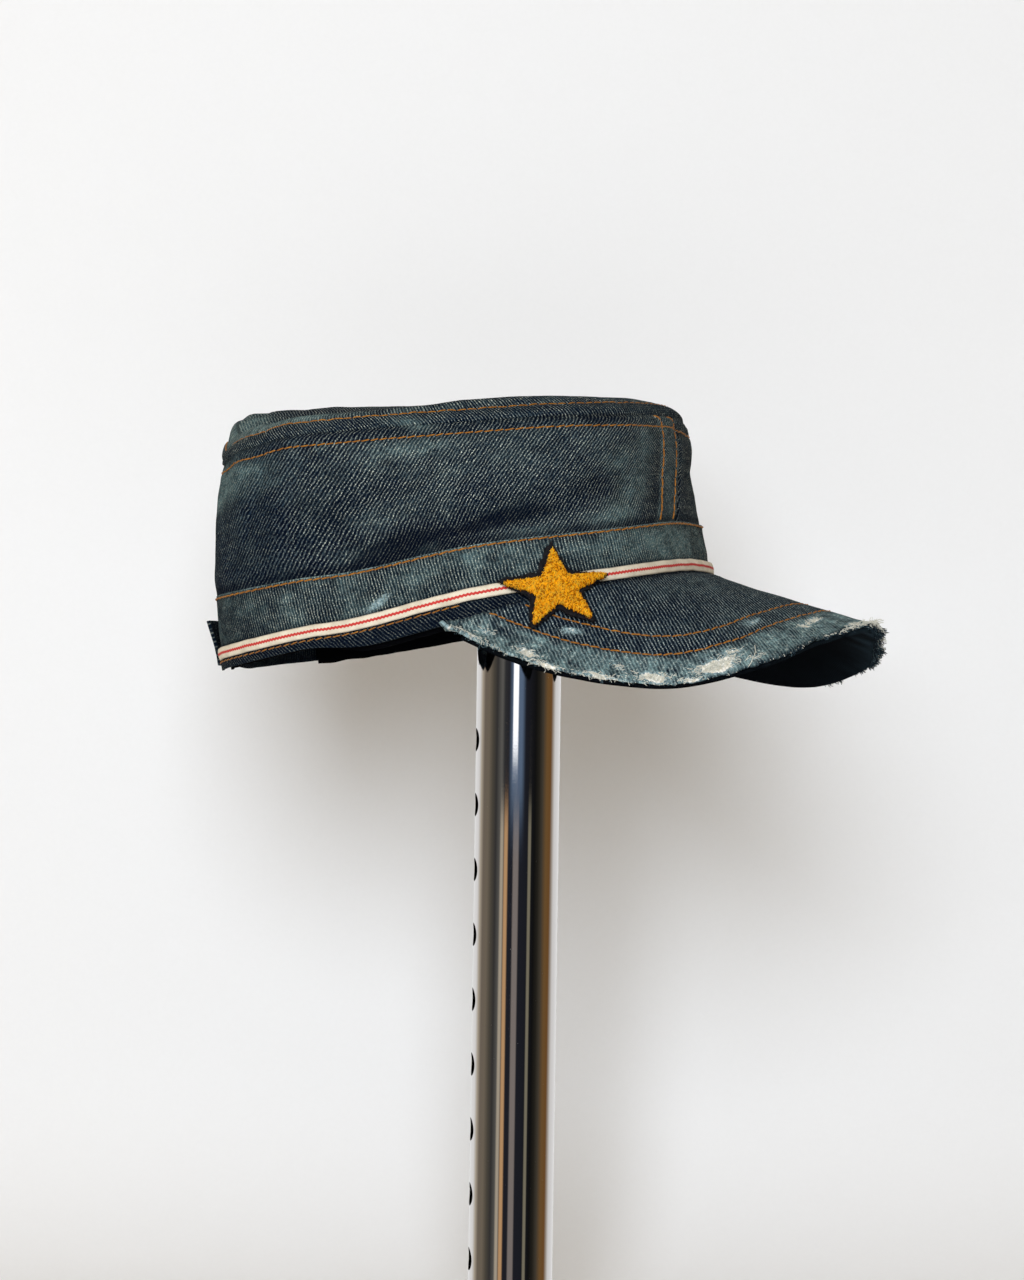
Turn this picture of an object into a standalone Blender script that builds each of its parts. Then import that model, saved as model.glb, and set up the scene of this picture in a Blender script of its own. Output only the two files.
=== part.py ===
# A denim cap with a short frayed peak, hung on a plain chrome post stand.
# Metres, +Z up. The peak points along +X and the cap's right side faces -Y.
# The origin is the middle of the base plate's underside, on the post's axis.

import math
from collections import namedtuple

import bmesh
import bpy
import numpy as np
from mathutils import Euler, Vector
from mathutils.bvhtree import BVHTree

MM = 0.001
GAP = 0.3 * MM                # clearance between pieces that touch

# Stand
BASE_DIAMETER = 200 * MM
BASE_THICKNESS = 6 * MM
SPIGOT_HEIGHT = 22 * MM
POST_DIAMETER = 33 * MM
POST_WALL = 1.5 * MM
HOLE_DIAMETER = 9 * MM
HOLE_PITCH = 25.4 * MM        # one inch, which gives the whole part its scale
HOLE_COUNT = 9
LOWEST_HOLE = 47.5 * MM
HOLE_BEARING = 212            # degrees round from +X
PLUG_DIAMETER = 58 * MM
PLUG_DOME = 9 * MM
PLUG_RIM = 4 * MM
PLUG_STEM = 18 * MM

# Where the cap hangs: the middle of its rim, and how far it is tipped
RIM_CENTRE = (-20.9 * MM, -0.1 * MM, 291.9 * MM)
NOSE_UP = 11.4                # degrees, peak end up
FAR_SIDE_UP = 2.0             # degrees, +Y side up

# Cloth thicknesses
TAPE_WALL = 1.0 * MM
STRIP_WALL = 1.0 * MM
BAND_WALL = 1.6 * MM
CROWN_WALL = 1.4 * MM
SWEATBAND_WALL = 1.2 * MM
PEAK_CLOTH = 1.4 * MM
PEAK_CORE = 1.8 * MM
STRAP_WALL = 1.4 * MM
FELT = 1.2 * MM
PILE = 2.2 * MM

# Heights on the rim, in millimetres above its lower edge
TAPE_BOTTOM = 6.7
TAPE_TOP = 11.3
STRIP_TOP = 6.4
STRIP_INSET = 0.2 * MM        # how far the strip lies behind the tape's face
SWEATBAND_BOTTOM = -1.8
SWEATBAND_END = 157.5         # degrees round from the nose: it stops short of the back

# The wall is two panels, sewn at the nose and at the back
FRONT_SEAM = 0.6              # bearing in degrees
BACK_SEAM = 180
SEAM_SLIT = 0.12              # half the slit, in degrees

# Each ring of the cap is a squarish oval. Millimetres and degrees, in the cap's own frame:
# where its middle is, how its plane tips, its half length and width, how square it is, and
# its shares of the rim's and the crown's unevenness below.
Ring = namedtuple("Ring", "forward across height nose far length width square rim crown")

rimRings = {
    "edge": Ring(0, 0, 0, 0, 0, 95.5, 80.2, 2.83, 1, 0),
    "redLine": Ring(0, 0, 9, 0, 0, 95.4, 80.1, 2.83, 1, 0),
    "bandFoot": Ring(0, 0, 12, 0, 0, 93.9, 78.6, 2.83, 1, 0),
    "bandStitch": Ring(1.8, -0.5, 28.4, -1.9, 0.9, 93.2, 78.3, 3.0, 1, 0),
    "bandTop": Ring(1.9, -0.5, 30.1, -2.1, 1.0, 93.0, 78.1, 3.0, 1, 0),
}
wallRings = [
    Ring(1.4, -0.4, 24.0, -1.5, 0.7, 91.0, 76.0, 3.0, 1, 0),      # hem, tucked behind the band
    Ring(1.9, -0.5, 31.0, -2.1, 1.0, 91.0, 76.1, 3.0, 1, 0),      # leaves the band
    Ring(2.8, 0.3, 51.0, -4.4, 0.0, 90.6, 77.4, 2.9, 1, 0.4),     # belly
    Ring(8.0, 1.1, 73.1, -7.2, -0.9, 90.8, 76.3, 2.73, 1, 0.95),  # lower topstitch
    Ring(7.7, 0.9, 77.6, -7.3, -0.7, 89.6, 75.2, 2.6, 1, 1),      # seam with the roof
]
roofRings = [
    Ring(7.6, 0.9, 78.1, -7.3, -0.7, 89.5, 75.1, 2.6, 1, 1),      # seam with the wall
    Ring(7.4, 0.8, 80.6, -7.3, -0.6, 89.7, 75.3, 2.5, 1, 1),      # rolled edge
    Ring(6.7, 0.6, 83.1, -7.4, -0.4, 88.1, 74.0, 2.39, 1, 1),     # upper topstitch
    Ring(6.5, 0.5, 84.8, -7.3, -0.3, 83.0, 69.3, 2.3, 0.95, 0.95),
    Ring(6.3, 1.0, 86.5, -7.2, 0.5, 66.0, 55.0, 2.2, 0.7, 0.7),
    Ring(6.2, 1.0, 88.2, -7.0, 1.0, 36.0, 30.0, 2.1, 0.3, 0.3),
    Ring(6.0, 1.0, 88.9, -6.6, 1.0, 0.0, 0.0, 2.0, 0, 0),
]

# The soft cap hangs unevenly: millimetres up by bearing, for the rim and, on top of that,
# for the crown. The near back corner sags and the far side stands up.
Sway = namedtuple("Sway", "bearing rim crown")
swayTable = [
    Sway(-180, 4.4, 2.0),
    Sway(-165, 3.0, -3.5),
    Sway(-150, 0.3, -5.8),
    Sway(-130, 0.0, -2.0),
    Sway(-115, 0.0, 0.4),
    Sway(-98, -1.0, 1.2),
    Sway(-62, 1.0, -1.4),
    Sway(-32, -0.6, 0.6),
    Sway(0, 0.3, 0.2),
    Sway(20, -0.8, 0.2),
    Sway(50, 0.5, 2.5),
    Sway(90, 3.0, 5.5),
    Sway(125, 4.2, 9.0),
    Sway(150, 4.7, 9.6),
    Sway(168, 4.8, 6.5),
    Sway(180, 4.4, 2.0),
]

# The peak's outer edge by sections: share of the way from the nose to a corner, then
# millimetres forward, across and up from the middle of the rim.
PeakSection = namedtuple("PeakSection", "share forward across height")
peakSections = [
    PeakSection(0.0, 163.0, 0.0, -26.8),
    PeakSection(0.2, 153.5, 34.5, -30.7),
    PeakSection(0.4, 139.5, 63.0, -37.5),
    PeakSection(0.6, 109.0, 80.5, -39.8),
    PeakSection(0.8, 66.0, 92.0, -24.6),
    PeakSection(1.0, 27.0, 83.0, 0.0),
]
PEAK_CORNER = 71.5            # degrees round from the nose
PEAK_ROOT_HEIGHT = 5.6 * MM   # under the tape in front, down to the rim at the corners
PEAK_TWIST = -0.042           # rise per unit across: the far side hangs a little lower
PEAK_HOLLOW = 2.5 * MM        # how far the sides sink below straight sections
UNDERSIDE_STAND_OFF = 2.4 * MM
UNDERSIDE_SPAN = 0.95         # it stops short of the corners
UNDERSIDE_TRIM = 1.0 * MM     # and of the outer edge

# Star patch on the right of the nose, across the band, the tape and the peak's root
STAR_BEARING = -45.4          # degrees
STAR_HEIGHT = 5.5 * MM
STAR_BEND = 7.3 * MM          # height where it bends outward onto the peak
STAR_EASE = 4.0 * MM          # how gently it bends
STAR_LEAN = 0.75              # outward per unit down, below the bend
STAR_LEAN_SKEW = 12.0         # more of it per metre toward the nose
STAR_WAIST = 0.59             # its inner corners, as a share of the way to a line between two tips
BACKING_WAIST = 0.69
BACKING_REACH = 1.06          # how much further the backing's tips reach

# The star's tips round from the top to its left: millimetres from its middle
StarTip = namedtuple("StarTip", "across up")
starTips = [
    StarTip(1.5, 14.5),
    StarTip(-16.5, 5.0),
    StarTip(-10.0, -14.0),
    StarTip(7.5, -15.0),
    StarTip(18.0, 0.5),
]

# Strap at the back
STRAP_HALF_ANGLE = 24         # degrees each side of the back
STRAP_BOTTOM = 6 * MM
STRAP_TOP = 24 * MM
STRAP_STAND_OFF = 1.2 * MM    # how far its top edge stands away

# Dents and bulges of the wall: from one bearing and share of its height to another, then
# width and outward depth in millimetres.
Fold = namedtuple("Fold", "bearing share toBearing toShare width depth")
wallFolds = [
    Fold(-112, 0.10, -96, 0.30, 8, -1.6),
    Fold(-96, 0.30, -88, 0.36, 8, -1.8),
    Fold(-76, 0.25, -58, 0.62, 8, -1.5),
    Fold(-118, 0.30, -98, 0.52, 12, 1.4),
    Fold(-88, 0.12, -74, 0.42, 10, 1.2),
    Fold(-128, 0.15, -130, 0.85, 7, -1.0),
    Fold(118, 0.15, 96, 0.45, 9, -1.6),
    Fold(74, 0.25, 58, 0.60, 9, -1.4),
    Fold(150, 0.30, 172, 0.55, 12, 1.2),
    Fold(-160, 0.55, 176, 0.30, 10, -1.4),
]

COLUMNS = 64                  # round the whole cap


def tidyStart():
    for item in list(bpy.context.scene.objects):
        bpy.data.objects.remove(item, do_unlink=True)


def makeMaterial(name, colour, roughness, metallic=0.0):
    material = bpy.data.materials.new(name)
    material.use_nodes = True
    shader = material.node_tree.nodes["Principled BSDF"]
    shader.inputs["Base Color"].default_value = (*colour, 1.0)
    shader.inputs["Roughness"].default_value = roughness
    shader.inputs["Metallic"].default_value = metallic
    material.diffuse_color = (*colour, 1.0)
    return material


def makeObject(name, mesh, material, parent=None):
    item = bpy.data.objects.new(name, mesh)
    bpy.context.scene.collection.objects.link(item)
    mesh.materials.append(material)
    mesh.shade_smooth()
    mesh.set_sharp_from_angle(angle=math.radians(35))
    item.parent = parent
    return item


def smoothRow(rows, position):
    """The row at a fractional position along a table, on a smooth curve through its rows."""
    table = np.array(rows, float)
    last = len(table) - 1
    index = min(int(position), last - 1)
    t = position - index
    before = table[index - 1] if index else 2 * table[0] - table[1]
    after = table[index + 2] if index + 2 <= last else 2 * table[last] - table[last - 1]
    here, there = table[index], table[index + 1]
    return 0.5 * (
        2 * here
        + (there - before) * t
        + (2 * before - 5 * here + 4 * there - after) * t**2
        + (3 * here - before - 3 * there + after) * t**3
    )


def swayAt(bearing, rimShare, crownShare):
    """Millimetres that the cap hangs above its level rings, at a bearing in radians."""
    degrees = (math.degrees(bearing) + 180) % 360 - 180
    for here, there in zip(swayTable, swayTable[1:]):
        if degrees <= there.bearing:
            t = (degrees - here.bearing) / (there.bearing - here.bearing)
            t = t * t * (3 - 2 * t)
            rim = here.rim + (there.rim - here.rim) * t
            crown = here.crown + (there.crown - here.crown) * t
            return rim * rimShare + crown * crownShare


def ringPoint(ring, bearing, inset=0.0):
    """A point of a ring at a bearing in radians, moved in by an inset in metres."""
    forward, across, height, nose, far, length, width, square, rimShare, crownShare = ring
    length = max(length - inset / MM, 1e-4)
    width = max(width - inset / MM, 1e-4)
    c, s = math.cos(bearing), math.sin(bearing)
    radius = (abs(c / length) ** square + abs(s / width) ** square) ** (-1 / square)
    x, y = radius * c, radius * s
    z = height + x * math.tan(math.radians(nose)) + y * math.tan(math.radians(far))
    z += swayAt(bearing, rimShare, crownShare)
    return Vector((forward + x, across + y, z)) * MM


def ringOutward(ring, bearing):
    """The level direction that points out of a ring at a bearing."""
    step = math.radians(0.5)
    along = ringPoint(ring, bearing + step) - ringPoint(ring, bearing - step)
    return Vector((along.y, -along.x, 0)).normalized()


def makeSheet(name, columns, rows, place, wall, material, parent, closed=False):
    """Cloth: a flat grid carried to its place point by point, then given its wall inwards.
    place takes two shares, along and up, and the grid's front faces out."""
    form = bmesh.new()
    bmesh.ops.create_grid(form, x_segments=columns, y_segments=rows, size=0.5)
    for vert in form.verts:
        vert.co = place(vert.co.x + 0.5, vert.co.y + 0.5)
    if closed:
        bmesh.ops.remove_doubles(form, verts=form.verts, dist=0.002 * MM)
    mesh = bpy.data.meshes.new(name)
    form.to_mesh(mesh)
    form.free()
    item = makeObject(name, mesh, material, parent)
    thickness = item.modifiers.new("wall", "SOLIDIFY")
    thickness.thickness = wall
    thickness.offset = -1
    thickness.use_even_offset = True
    return item


def foldDepth(bearing, share):
    """How far the folds push the crown's wall out, at a bearing in degrees and a share of its height."""
    wallHeight, wallRadius = 52.0, 84.0
    depth = 0.0
    for fold in wallFolds:
        run = np.array([math.radians(fold.toBearing - fold.bearing) * wallRadius,
                        (fold.toShare - fold.share) * wallHeight])
        turn = (bearing - fold.bearing + 180) % 360 - 180
        here = np.array([math.radians(turn) * wallRadius, (share - fold.share) * wallHeight])
        along = np.clip(here @ run / (run @ run), 0, 1)
        distance = np.linalg.norm(here - along * run)
        depth += fold.depth * math.exp(-((distance / fold.width) ** 2))
    return depth * MM


def wallPlace(start, end):
    """Places a panel of the crown's wall between two bearings in degrees."""
    def place(along, up):
        bearing = start + (end - start) * along
        ring = smoothRow(wallRings, up * (len(wallRings) - 1))
        point = ringPoint(ring, math.radians(bearing))
        fade = min(1, max(0, up - 0.25) * 7, (1 - up) * 5)
        return point + ringOutward(ring, math.radians(bearing)) * foldDepth(bearing, up) * fade
    return place


def roofPlace(along, up):
    ring = smoothRow(roofRings, up * (len(roofRings) - 1))
    if up > 0.999:
        ring = roofRings[-1]
    return ringPoint(ring, math.tau * along)


def hoopPlace(rings, inset, halfAngle=180):
    """Places a hoop through rings, moved in from them, from one side of the nose to the other."""
    def place(along, up):
        ring = smoothRow(rings, up * (len(rings) - 1))
        return ringPoint(ring, math.radians(halfAngle * (2 * along - 1)), inset)
    return place


def raised(ring, height):
    """The same ring at another height in millimetres."""
    return ring._replace(height=height)


def peakEdge(share):
    """The peak's outer edge: share runs from -1 at the right corner to 1 at the left one."""
    left = [section[1:] for section in peakSections]
    right = [(x, -y, z) for x, y, z in left[:0:-1]]
    x, y, z = smoothRow(right + left, (share + 1) * (len(left) - 1))
    return Vector((x, y, z + PEAK_TWIST * y)) * MM


def peakTop(share, out):
    """The peak's top surface: out runs from its root on the rim to its outer edge."""
    bearing = math.radians(PEAK_CORNER * share)
    rise = PEAK_ROOT_HEIGHT * min(1, 2.2 * (1 - abs(share)))
    root = ringPoint(raised(rimRings["edge"], rise / MM), bearing, -GAP - PEAK_CLOTH)
    hollow = PEAK_HOLLOW * share**2 * 4 * out * (1 - out)
    sunk = ringOutward(rimRings["edge"], bearing) * 0.6 + Vector((0, 0, 0.8))
    return root.lerp(peakEdge(share), out) - sunk * hollow


def peakPlace(depth, standOff, span, trim):
    """Places one layer of the peak below its top, held back from the rim, the corners and the edge."""
    def place(along, out):
        share = span * (1 - 2 * along)
        length = (peakTop(share, 1) - peakTop(share, 0)).to_2d().length
        inner, outer = standOff / length, 1 - trim / length
        out = inner + (outer - inner) * out
        step = 0.01
        side = peakTop(max(share - step, -1), out) - peakTop(min(share + step, 1), out)
        ahead = peakTop(share, min(out + step, 1)) - peakTop(share, max(out - step, 0))
        return peakTop(share, out) - side.cross(ahead).normalized() * depth
    return place


def starPlace(reach, waist, lift):
    """Places a star on the cap's outside: it bends from the band onto the peak's root."""
    ring = rimRings["redLine"]
    middle = math.radians(STAR_BEARING)
    radius = ringPoint(ring, middle).to_2d().length
    tips = [Vector(tip) * MM for tip in starTips]
    corners = []
    for tip, following in zip(tips, tips[1:] + tips[:1]):
        corners += [tip * reach, (tip + following) / 2 * waist]
    corners.append(corners[0])

    def place(along, inward):
        index, t = divmod(along * (len(corners) - 1), 1)
        here, there = corners[int(index)], corners[min(int(index) + 1, len(corners) - 1)]
        side, rise = here.lerp(there, t) * (1 - inward)
        below = STAR_BEND - STAR_HEIGHT - rise
        slope = STAR_LEAN + STAR_LEAN_SKEW * side
        lean = slope * (below + math.hypot(below, STAR_EASE)) / 2
        tilt = slope * (1 + below / math.hypot(below, STAR_EASE)) / 2
        bearing = middle + side / radius
        outward = ringOutward(ring, bearing)
        point = ringPoint(ring, bearing)
        point.z = STAR_HEIGHT + rise
        return point + outward * lean + (outward + Vector((0, 0, tilt))).normalized() * lift
    return place


def strapPlace(along, up):
    bearing = math.radians(180 + STRAP_HALF_ANGLE * (2 * along - 1))
    point = ringPoint(rimRings["edge"], bearing)
    point.z = STRAP_BOTTOM + (STRAP_TOP - STRAP_BOTTOM) * up
    away = GAP + STRAP_WALL + STRAP_STAND_OFF * up**2
    return point + ringOutward(rimRings["edge"], bearing) * away


def makeCap(frame):
    denim = makeMaterial("dark denim", (0.05, 0.085, 0.12), 0.9)
    wornDenim = makeMaterial("worn denim", (0.09, 0.14, 0.17), 0.9)
    cream = makeMaterial("cream tape", (0.78, 0.72, 0.60), 0.85)
    black = makeMaterial("black cotton", (0.012, 0.012, 0.014), 0.9)
    felt = makeMaterial("black felt", (0.015, 0.015, 0.018), 0.95)
    gold = makeMaterial("gold pile", (0.72, 0.42, 0.06), 0.6)

    makeSheet("crown_right", COLUMNS // 2, 8,
              wallPlace(BACK_SEAM - 360 + SEAM_SLIT, FRONT_SEAM - SEAM_SLIT), CROWN_WALL, denim, frame)
    makeSheet("crown_left", COLUMNS // 2, 8,
              wallPlace(FRONT_SEAM + SEAM_SLIT, BACK_SEAM - SEAM_SLIT), CROWN_WALL, denim, frame)
    makeSheet("crown_top", COLUMNS, len(roofRings) - 1, roofPlace, CROWN_WALL, denim, frame, closed=True)

    edge, foot = rimRings["edge"], rimRings["bandFoot"]
    bandRows = [raised(foot, 0), foot, rimRings["bandStitch"], rimRings["bandTop"]]
    makeSheet("band", COLUMNS, 3, hoopPlace(bandRows, 0), BAND_WALL, wornDenim, frame, closed=True)
    sweatRows = [raised(foot, SWEATBAND_BOTTOM), foot, smoothRow(bandRows, 1.5)]
    makeSheet("sweatband", COLUMNS * 7 // 8, 2,
              hoopPlace(sweatRows, BAND_WALL + 1.5 * GAP, SWEATBAND_END), SWEATBAND_WALL, black, frame)
    tapeRows = [raised(edge, TAPE_BOTTOM), raised(edge, TAPE_TOP)]
    makeSheet("selvedge_tape", COLUMNS, 1, hoopPlace(tapeRows, 0), TAPE_WALL, cream, frame, closed=True)
    stripRows = [edge, raised(edge, STRIP_TOP)]
    makeSheet("rim_strip", COLUMNS, 1, hoopPlace(stripRows, STRIP_INSET), STRIP_WALL, denim, frame,
              closed=True)

    makeSheet("peak_upper", 36, 6, peakPlace(0, 0, 1, 0), PEAK_CLOTH, denim, frame)
    makeSheet("peak_underside", 36, 5,
              peakPlace(PEAK_CLOTH + 2 * GAP, UNDERSIDE_STAND_OFF, UNDERSIDE_SPAN, UNDERSIDE_TRIM),
              PEAK_CORE, black, frame)

    lift = GAP + FELT
    makeSheet("star_backing", 20, 6, starPlace(BACKING_REACH, BACKING_WAIST, lift), FELT, felt, frame,
              closed=True)
    makeSheet("star_pile", 20, 6, starPlace(1, STAR_WAIST, lift + 1.4 * GAP + PILE), PILE, gold, frame,
              closed=True)
    makeSheet("back_strap", 14, 3, strapPlace, STRAP_WALL, denim, frame)


def makeTurned(name, profile, steps, material):
    """A round piece turned from an outline of (radius, height) pairs."""
    form = bmesh.new()
    verts = [form.verts.new((radius, 0, height)) for radius, height in profile]
    edges = [form.edges.new(pair) for pair in zip(verts, verts[1:])]
    if profile[0][0] and profile[-1][0]:
        edges.append(form.edges.new((verts[-1], verts[0])))
    bmesh.ops.spin(form, geom=verts + edges, axis=(0, 0, 1), cent=(0, 0, 0),
                   angle=math.tau, steps=steps, use_merge=True)
    bmesh.ops.remove_doubles(form, verts=form.verts, dist=0.002 * MM)
    bmesh.ops.recalc_face_normals(form, faces=form.faces)
    mesh = bpy.data.meshes.new(name)
    form.to_mesh(mesh)
    form.free()
    return makeObject(name, mesh, material)


def makeHoleCutter():
    """One short drill for each hole, through one side of the tube."""
    form = bmesh.new()
    bearing = math.radians(HOLE_BEARING)
    aim = Euler((0, math.pi / 2, bearing)).to_matrix().to_4x4()
    for index in range(HOLE_COUNT):
        reach = POST_DIAMETER / 2
        aim.translation = (reach * math.cos(bearing), reach * math.sin(bearing),
                           LOWEST_HOLE + HOLE_PITCH * index)
        bmesh.ops.create_cone(form, cap_ends=True, segments=14, radius1=HOLE_DIAMETER / 2,
                              radius2=HOLE_DIAMETER / 2, depth=POST_DIAMETER * 0.6, matrix=aim)
    mesh = bpy.data.meshes.new("hole_cutter")
    form.to_mesh(mesh)
    form.free()
    cutter = bpy.data.objects.new("hole_cutter", mesh)
    bpy.context.scene.collection.objects.link(cutter)
    cutter.hide_render = True
    cutter.display_type = "WIRE"
    return cutter


def roofClearance(roof, radius, crown):
    """The lowest height at which a dome of this radius and rise meets the inside of the roof."""
    graph = bpy.context.evaluated_depsgraph_get()
    inside = BVHTree.FromObject(roof, graph)
    toRoof = roof.matrix_world.inverted()
    lowest = math.inf
    for ring in range(9):
        out = radius * ring / 8
        for turn in range(24):
            x, y = out * math.cos(math.tau * turn / 24), out * math.sin(math.tau * turn / 24)
            foot = toRoof @ Vector((x, y, RIM_CENTRE[2]))
            hit = inside.ray_cast(foot, toRoof.to_3x3() @ Vector((0, 0, 1)))[0]
            fall = crown * (out / radius) ** 2
            lowest = min(lowest, (roof.matrix_world @ hit).z + fall)
    return lowest


def makeStand(roof):
    chrome = makeMaterial("chrome", (0.78, 0.78, 0.79), 0.08, 1.0)
    plastic = makeMaterial("black plastic", (0.02, 0.02, 0.02), 0.5)
    inner = POST_DIAMETER / 2 - POST_WALL
    outer = POST_DIAMETER / 2

    domeTop = roofClearance(roof, PLUG_DIAMETER / 2, PLUG_DOME) - GAP
    shoulder = domeTop - PLUG_DOME
    seat = shoulder - PLUG_RIM
    dome = [(PLUG_DIAMETER / 2 * share, domeTop - PLUG_DOME * share**2)
            for share in (0, 0.25, 0.5, 0.75, 1)]
    makeTurned("post_plug", dome + [(PLUG_DIAMETER / 2, seat), (inner - GAP, seat),
                                    (inner - GAP, seat - PLUG_STEM), (0, seat - PLUG_STEM)],
               32, plastic)

    foot = BASE_THICKNESS + GAP
    post = makeTurned("post", [(inner, foot), (outer, foot), (outer, seat - GAP),
                               (inner, seat - GAP)], 40, chrome)
    drill = post.modifiers.new("holes", "BOOLEAN")
    drill.object = makeHoleCutter()
    drill.solver = "EXACT"

    rim, chamfer = BASE_DIAMETER / 2, 1.5 * MM
    spigot = inner - GAP
    makeTurned("base_plate", [(0, SPIGOT_HEIGHT), (spigot, SPIGOT_HEIGHT), (spigot, BASE_THICKNESS),
                              (rim - chamfer, BASE_THICKNESS), (rim, BASE_THICKNESS - chamfer),
                              (rim, 0), (0, 0)], 48, chrome)


tidyStart()
capFrame = bpy.data.objects.new("cap_frame", None)
bpy.context.scene.collection.objects.link(capFrame)
capFrame.location = RIM_CENTRE
capFrame.rotation_euler = (math.radians(FAR_SIDE_UP), math.radians(-NOSE_UP), 0)
makeCap(capFrame)
bpy.context.view_layer.update()
makeStand(bpy.data.objects["crown_top"])
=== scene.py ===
# A denim cap on a chrome post stand: its cloth, stitches, frayed edge and star, with light and camera.
# Metres, +Z up. Tables of the cap are in millimetres and degrees, in the cap's own tipped frame.

import math
import random
from collections import namedtuple
from functools import lru_cache

import bmesh
import bpy
import numpy as np
from mathutils import Euler, Matrix, Vector, noise


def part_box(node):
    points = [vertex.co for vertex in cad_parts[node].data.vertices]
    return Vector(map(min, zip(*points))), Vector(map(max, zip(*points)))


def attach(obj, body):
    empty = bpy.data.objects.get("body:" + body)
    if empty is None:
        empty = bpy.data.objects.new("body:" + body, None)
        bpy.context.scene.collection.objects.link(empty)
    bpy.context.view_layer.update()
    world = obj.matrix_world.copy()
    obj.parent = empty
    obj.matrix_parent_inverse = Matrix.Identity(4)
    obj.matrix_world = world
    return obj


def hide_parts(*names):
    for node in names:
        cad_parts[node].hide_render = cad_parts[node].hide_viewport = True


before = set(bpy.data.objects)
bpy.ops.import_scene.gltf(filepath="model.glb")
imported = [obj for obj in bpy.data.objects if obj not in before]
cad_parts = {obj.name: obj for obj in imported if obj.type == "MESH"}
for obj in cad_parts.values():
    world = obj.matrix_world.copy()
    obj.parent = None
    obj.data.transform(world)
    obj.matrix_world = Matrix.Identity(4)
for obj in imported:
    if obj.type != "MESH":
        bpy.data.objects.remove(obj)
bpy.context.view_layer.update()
random.seed(11)
mm = 0.001

# Camera: level with the rim, looking at the post from the cap's right front
shot = {
    "place": (0.488, -1.096, 0.290),
    "turn": 24.0,               # degrees round from -Y
    "roll": 0.85,
    "lens": 86.0,
    "shiftX": -0.0059,
}


def addItem(name, data):
    item = bpy.data.objects.new(name, data)
    bpy.context.scene.collection.objects.link(item)
    return item


camera = addItem("camera", bpy.data.cameras.new("camera"))
bpy.context.scene.camera = camera
camera.location = shot["place"]
camera.rotation_euler = (
    Matrix.Rotation(math.radians(shot["turn"]), 3, "Z")
    @ Matrix.Rotation(math.pi / 2, 3, "X")
    @ Matrix.Rotation(math.radians(shot["roll"]), 3, "Z")
).to_euler()
camera.data.lens = shot["lens"]
camera.data.shift_x = shot["shiftX"]
camera.data.clip_end = 20
bpy.context.scene.view_settings.view_transform = "Standard"
print("camera set")

# The cap's frame and its rings, as they are sewn
capMatrix = Matrix.Translation((-20.9 * mm, -0.1 * mm, 291.9 * mm)) @ Euler(
    (math.radians(2.0), math.radians(-11.4), 0)).to_matrix().to_4x4()


def ontoCap(point):
    return capMatrix @ (point * mm)


# Where a ring's middle is, how its plane tips, its half length and width, how square it is,
# and its shares of the rim's and the crown's unevenness
Ring = namedtuple("Ring", "forward across height nose far length width square rim crown")
rimEdge = Ring(0, 0, 0, 0, 0, 95.5, 80.2, 2.83, 1, 0)
bandRings = (
    Ring(0, 0, 0, 0, 0, 93.9, 78.6, 2.83, 1, 0),
    Ring(0, 0, 12, 0, 0, 93.9, 78.6, 2.83, 1, 0),
    Ring(1.8, -0.5, 28.4, -1.9, 0.9, 93.2, 78.3, 3.0, 1, 0),
    Ring(1.9, -0.5, 29.6, -2.1, 1.0, 93.0, 78.1, 3.0, 1, 0),
)
wallRings = (
    Ring(1.4, -0.4, 24.0, -1.5, 0.7, 91.0, 76.0, 3.0, 1, 0),
    Ring(1.9, -0.5, 31.0, -2.1, 1.0, 91.0, 76.1, 3.0, 1, 0),
    Ring(2.8, 0.3, 51.0, -4.4, 0.0, 90.6, 77.4, 2.9, 1, 0.4),
    Ring(8.0, 1.1, 73.1, -7.2, -0.9, 90.8, 76.3, 2.73, 1, 0.95),
    Ring(7.7, 0.9, 77.6, -7.3, -0.7, 89.6, 75.2, 2.6, 1, 1),
)
wallFoot, wallTop = wallRings[1].height, wallRings[-1].height
roofRings = (
    Ring(7.6, 0.9, 78.1, -7.3, -0.7, 89.5, 75.1, 2.6, 1, 1),
    Ring(7.4, 0.8, 80.6, -7.3, -0.6, 89.7, 75.3, 2.5, 1, 1),
    Ring(6.7, 0.6, 83.1, -7.4, -0.4, 88.1, 74.0, 2.39, 1, 1),
    Ring(6.5, 0.5, 84.8, -7.3, -0.3, 83.0, 69.3, 2.3, 0.95, 0.95),
    Ring(6.3, 1.0, 86.5, -7.2, 0.5, 66.0, 55.0, 2.2, 0.7, 0.7),
    Ring(6.2, 1.0, 88.2, -7.0, 1.0, 36.0, 30.0, 2.1, 0.3, 0.3),
    Ring(6.0, 1.0, 88.9, -6.6, 1.0, 0.0, 0.0, 2.0, 0, 0),
)

# How the soft cap hangs: millimetres up by bearing, for the rim and for the crown above it
Sway = namedtuple("Sway", "bearing rim crown")
swayTable = [
    Sway(-180, 4.4, 2.0), Sway(-165, 3.0, -3.5), Sway(-150, 0.3, -5.8), Sway(-130, 0.0, -2.0),
    Sway(-115, 0.0, 0.4), Sway(-98, -1.0, 1.2), Sway(-62, 1.0, -1.4), Sway(-32, -0.6, 0.6),
    Sway(0, 0.3, 0.2), Sway(20, -0.8, 0.2), Sway(50, 0.5, 2.5), Sway(90, 3.0, 5.5),
    Sway(125, 4.2, 9.0), Sway(150, 4.7, 9.6), Sway(168, 4.8, 6.5), Sway(180, 4.4, 2.0),
]


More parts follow.
